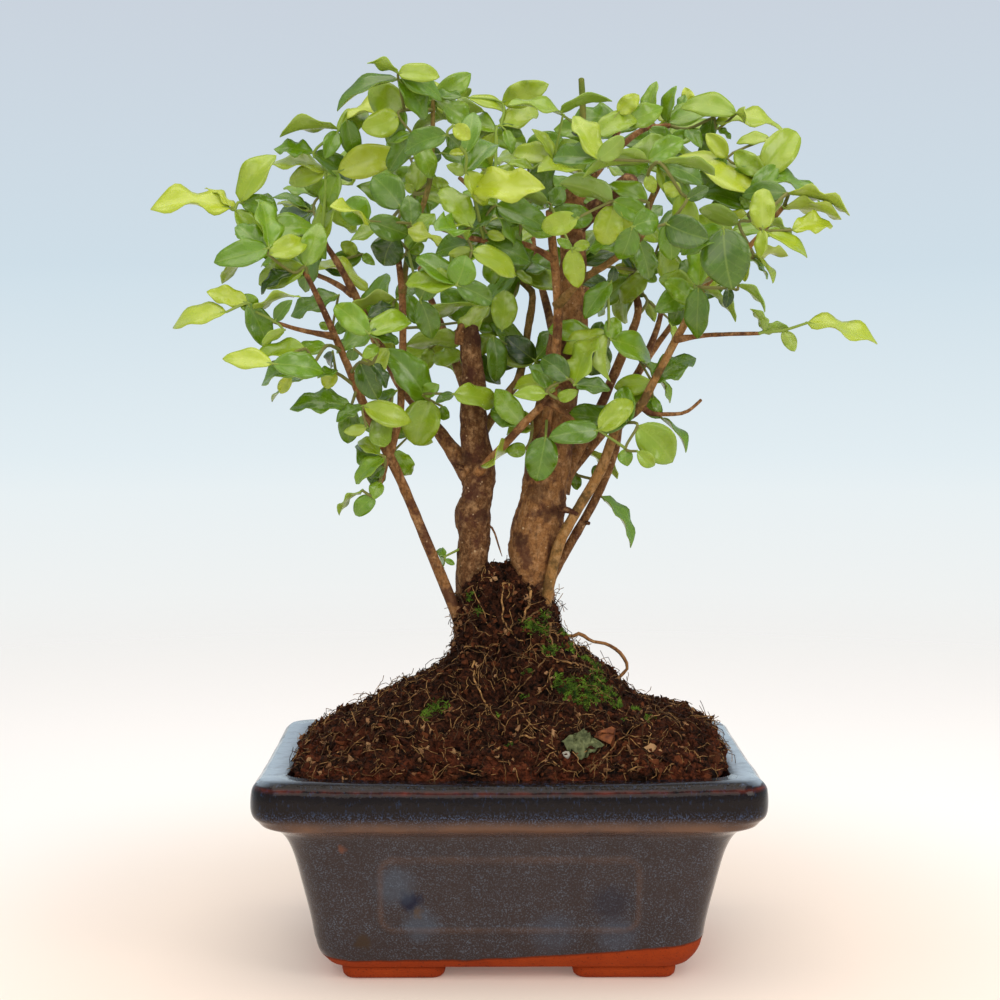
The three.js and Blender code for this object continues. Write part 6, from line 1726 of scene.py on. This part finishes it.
def stained_material(name, deep, pale, stain_size):
    made, tree, in_mm = open_material(name)
    stains = add(tree, "ShaderNodeTexNoise", {"Vector": in_mm, "Scale": 1 / stain_size, "Detail": 4,
        "Roughness": 0.6})
    stained = coat(tree, deep, pale, stains, 0.35, 0.65)
    close_material(tree, {"Base Color": stained, "Roughness": 0.75, "Specular IOR Level": 0.25})
    return made


def pleat(row, column):
    return 2 + 0.12 * row * math.sin(2 * math.pi * FAN_PLEATS * column / FAN_COLUMNS)


fan_turns = [math.radians(FAN_OPENS[0] + (FAN_OPENS[1] - FAN_OPENS[0]) * j / FAN_COLUMNS)
    for j in range(FAN_COLUMNS + 1)]
fan_rows = []
for i in range(FAN_ROWS + 1):
    reach = FAN_REACH * (0.12 + 0.88 * i / FAN_ROWS)
    fan_rows.append([(FAN_FOOT[0] + reach * math.cos(turn) * 0.9, FAN_FOOT[1] + reach * math.sin(turn))
        for turn in fan_turns])
grey_green = stained_material("dead_grey_green_leaf", "#383d20", "#6f734c", 2.5)
fan_leaf = sheet_on_ground("dead_fan_leaf", fan_rows, pleat, grey_green)
curl_middle = [sum(c) / len(CURL) for c in zip(*CURL)]
curl_rows = [[tuple(m + (p - m) * part for m, p in zip(curl_middle, spot)) for spot in CURL + CURL[:1]]
    for part in (0.15, 0.6, 1)]
dry_brown = stained_material("dry_brown_leaf", "#4f2614", "#8a5029", 2)
brown_leaf = sheet_on_ground("brown_leaf_curl", curl_rows, lambda row, column: 1.8 + 0.5 * row, dry_brown)

ball = bmesh.new()
bmesh.ops.create_icosphere(ball, subdivisions=3, radius=1)
pebble_place = on_ground(*PEBBLE, 0.3)
pebble_points = []
for vertex in ball.verts:
    stretched = Vector([size * v for size, v in zip(PEBBLE_HALF_SIZES, vertex.co)])
    pebble_points.append(pebble_place + stretched * (1 + 0.3 * noise.noise(vertex.co * 1.7)))
pebble_faces = [tuple(v.index for v in face.verts) for face in ball.faces]
ball.free()
pebble = piece("pale_pebble", pebble_points, pebble_faces, "peat")
pebble.data.materials.append(stained_material("pale_chalk_pebble", "#7a7264", "#b9b3a4", 1.5))
print("litter:", triangles(fan_leaf) + triangles(brown_leaf) + triangles(pebble), "triangles")

# %% [markdown]
# ### Moss
#
# Small cushions of bright moss sit on the damp side of the hill. Each is a stand of tiny pointed leaves, so
# the scattering tree of the crumbs is used in a new form, with a cone on each point, standing up from the
# ground.

# %% Scatter the moss
MOSS_SPOTS = [(17, 88, 3), (21, 86, 4), (26, 85.5, 4), (30, 88, 4), (33, 84, 4), (27, 81, 4), (22, 82, 2.5),
    (36, 80, 3), (29, 92, 3), (25, 95, 2.5), (21, 99, 2.5), (8, 107, 3), (11, 105, 3), (12, 110, 2.5),
    (14, 99, 2.5), (18, 104, 2.5), (-24, 79, 3), (-27, 77, 2.5), (-21, 80, 1.8), (-12, 116, 2.2),
    (-10, 112, 1.8), (7, 91, 1.8), (-3, 76, 1.5), (1, 66, 1.5), (42, 78, 2), (47, 75, 1.8), (5, 83, 1.5),
    (39, 75, 1.5)]
MOSS_PER_SQUARE_METRE = 6500000.0
MOSS_HEIGHT = 1.6
moss_centres = [(on_ground(x, z, 0), radius) for x, z, radius in MOSS_SPOTS]

moss_tree, given, points = new_tree("scatter_moss", {"Height": "Float"})
spike = add(moss_tree, "GeometryNodeMeshCone", {"Vertices": 3, "Radius Top": 0.0, "Radius Bottom": 0.16,
    "Depth": 1.0})
tilt = add(moss_tree, "FunctionNodeRandomValue", {0: (-0.8, -0.8, 0), 1: (0.8, 0.8, 6.28),
    "Seed": given["Seed"]}, data_type="FLOAT_VECTOR")
leaning = add(moss_tree, "FunctionNodeRotateRotation", {0: points.outputs["Rotation"], 1: tilt},
    rotation_space="LOCAL")
tall = add(moss_tree, "FunctionNodeRandomValue", {2: 0.5, 3: 1.2, "Seed": 2}, data_type="FLOAT")
height = add(moss_tree, "ShaderNodeMath", {0: tall, 1: given["Height"]}, operation="MULTIPLY")
end_tree(moss_tree, repeat(moss_tree, points, spike, leaning, height), given["Material"])

moss_green, tree, in_mm = open_material("damp_moss")
patchy = add(tree, "ShaderNodeTexNoise", {"Vector": in_mm, "Scale": 1 / 2.5, "Detail": 3})
moss_colour = coat(tree, "#20360e", "#70902a", patchy, 0.35, 0.65)
close_material(tree, {"Base Color": moss_colour, "Roughness": 0.75, "Specular IOR Level": 0.2})


def in_moss(place):
    rough = 2.2 * noise.noise(place / 1.3) + 0.6
    return any((place - centre).length + rough < radius for centre, radius in moss_centres
        if centre is not None)


moss_mesh = heap_surface("moss_surface", SOIL_EDGE + 1, in_moss)
moss = run_tree("moss_cushions", moss_tree, moss_mesh, {"Density": MOSS_PER_SQUARE_METRE,
    "Height": MOSS_HEIGHT * MM, "Seed": 21, "Material": moss_green})
print("moss:", triangles(moss), "triangles")

# %% [markdown]
# ### The drain meshes
#
# Under the soil each drain hole is covered by a square of black plastic mesh, which the CAD model already
# has in its right shape. It only needs its finish: moulded polyethylene, dull, with a fine grain.

# %% Finish the drain meshes
DRAIN_MESHES = ("drain_mesh_left", "drain_mesh_right")

mesh_plastic, tree, in_mm = open_material("moulded_black_polyethylene")
grain = add(tree, "ShaderNodeTexNoise", {"Vector": in_mm, "Scale": 1 / 0.5, "Detail": 2})
black = add(tree, "ShaderNodeMix", {0: grain, 6: "#151515", 7: "#2b2b2b"}, data_type="RGBA")
bump = add(tree, "ShaderNodeBump", {"Height": grain, "Distance": 0.2 * MM, "Strength": 0.4})
close_material(tree, {"Base Color": black, "Roughness": 0.55, "Normal": bump})
for name in DRAIN_MESHES:
    node = frame["nodes"][name]
    node.data.materials.clear()
    node.data.materials.append(mesh_plastic)
print("drain meshes between z", [round(corner.z / MM, 1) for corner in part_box(DRAIN_MESHES[0])[:2]], "mm")

# %% [markdown]
# ## The studio
#
# The plant stands on a pale sweep under large soft lamps. The floor is a disc that fades out far behind the
# plant, and it glows a little of its own, painted light that lifts its shadows. The world behind it goes
# from warm white at the foot to a pale cool blue above.

# %% Floor, sky and lamps
FLOOR_RADIUS = 3
FLOOR_FADES = (220, 1100)
FLOOR_WARM = (100, 300)

floor_mesh = bmesh.new()
bmesh.ops.create_circle(floor_mesh, cap_ends=True, segments=96, radius=FLOOR_RADIUS)
floor_data = bpy.data.meshes.new("floor")
floor_mesh.to_mesh(floor_data)
floor_mesh.free()
floor = bpy.data.objects.new("floor", floor_data)
bpy.context.scene.collection.objects.link(floor)

floor_paint, tree, in_mm = open_material("pale_studio_floor")
away = add(tree, "ShaderNodeVectorMath", {0: in_mm}, operation="LENGTH")
fade, far = (add(tree, "ShaderNodeMapRange", {0: away, 1: low, 2: high}, interpolation_type="SMOOTHSTEP")
    for low, high in (FLOOR_FADES, FLOOR_WARM))
tint = add(tree, "ShaderNodeMix", {0: far, 6: "#ead9ca", 7: "#eeeae5"}, data_type="RGBA")
paint = add(tree, "ShaderNodeBsdfDiffuse", {"Color": tint})
# The floor also glows a little, warm: painted light that lifts the shadows on it, though it is no lamp.
painted_fill_glow = add(tree, "ShaderNodeEmission", {"Color": "#ffebdd", "Strength": 0.14})
paint = add(tree, "ShaderNodeAddShader", {0: paint, 1: painted_fill_glow})
clear = add(tree, "ShaderNodeBsdfTransparent")
mixed = add(tree, "ShaderNodeMixShader", {0: fade, 1: paint, 2: clear})
add(tree, "ShaderNodeOutputMaterial", {"Surface": mixed})
floor.data.materials.append(floor_paint)

world = bpy.data.worlds.new("studio_sky")
bpy.context.scene.world = world
world.use_nodes = True
tree = world.node_tree
tree.nodes.clear()
direction = add(tree, "ShaderNodeTexCoord").outputs["Generated"]
rise = add(tree, "ShaderNodeSeparateXYZ", {0: direction}).outputs["Z"]
sky = "#fbf5ef"
for tint, low, high in (("#e6f0f4", -0.2, -0.04), ("#cfdfe9", -0.06, 0.06), ("#c9d1dc", 0.05, 0.22)):
    sky = coat(tree, sky, tint, rise, low, high)
background = add(tree, "ShaderNodeBackground", {"Color": sky, "Strength": 1.0})
add(tree, "ShaderNodeOutputWorld", {"Surface": background})


def lamp(name, place, size, watts, tint):
    """A soft rectangular lamp that points at the plant's middle."""
    data = bpy.data.lights.new(name, "AREA")
    data.shape = "RECTANGLE"
    data.size, data.size_y = size
    data.energy = watts
    data.color = colour(tint)[:3]
    made = bpy.data.objects.new(name, data)
    made.location = place
    made.rotation_euler = (Vector((0, 0, 0.15)) - Vector(place)).to_track_quat("-Z", "Y").to_euler()
    bpy.context.scene.collection.objects.link(made)


lamp("top_softbox", (0.0, -0.15, 1.1), (1.1, 0.9), 7, "#fff6e8")
lamp("front_fill", (-0.15, -1.3, 0.8), (1.2, 0.8), 6, "#fff6ea")
lamp("right_fill", (1.0, -0.8, 0.6), (0.5, 0.7), 4.5, "#fffaf2")
bpy.context.scene.view_settings.view_transform = "Standard"
print("three soft lamps and a pale sky")
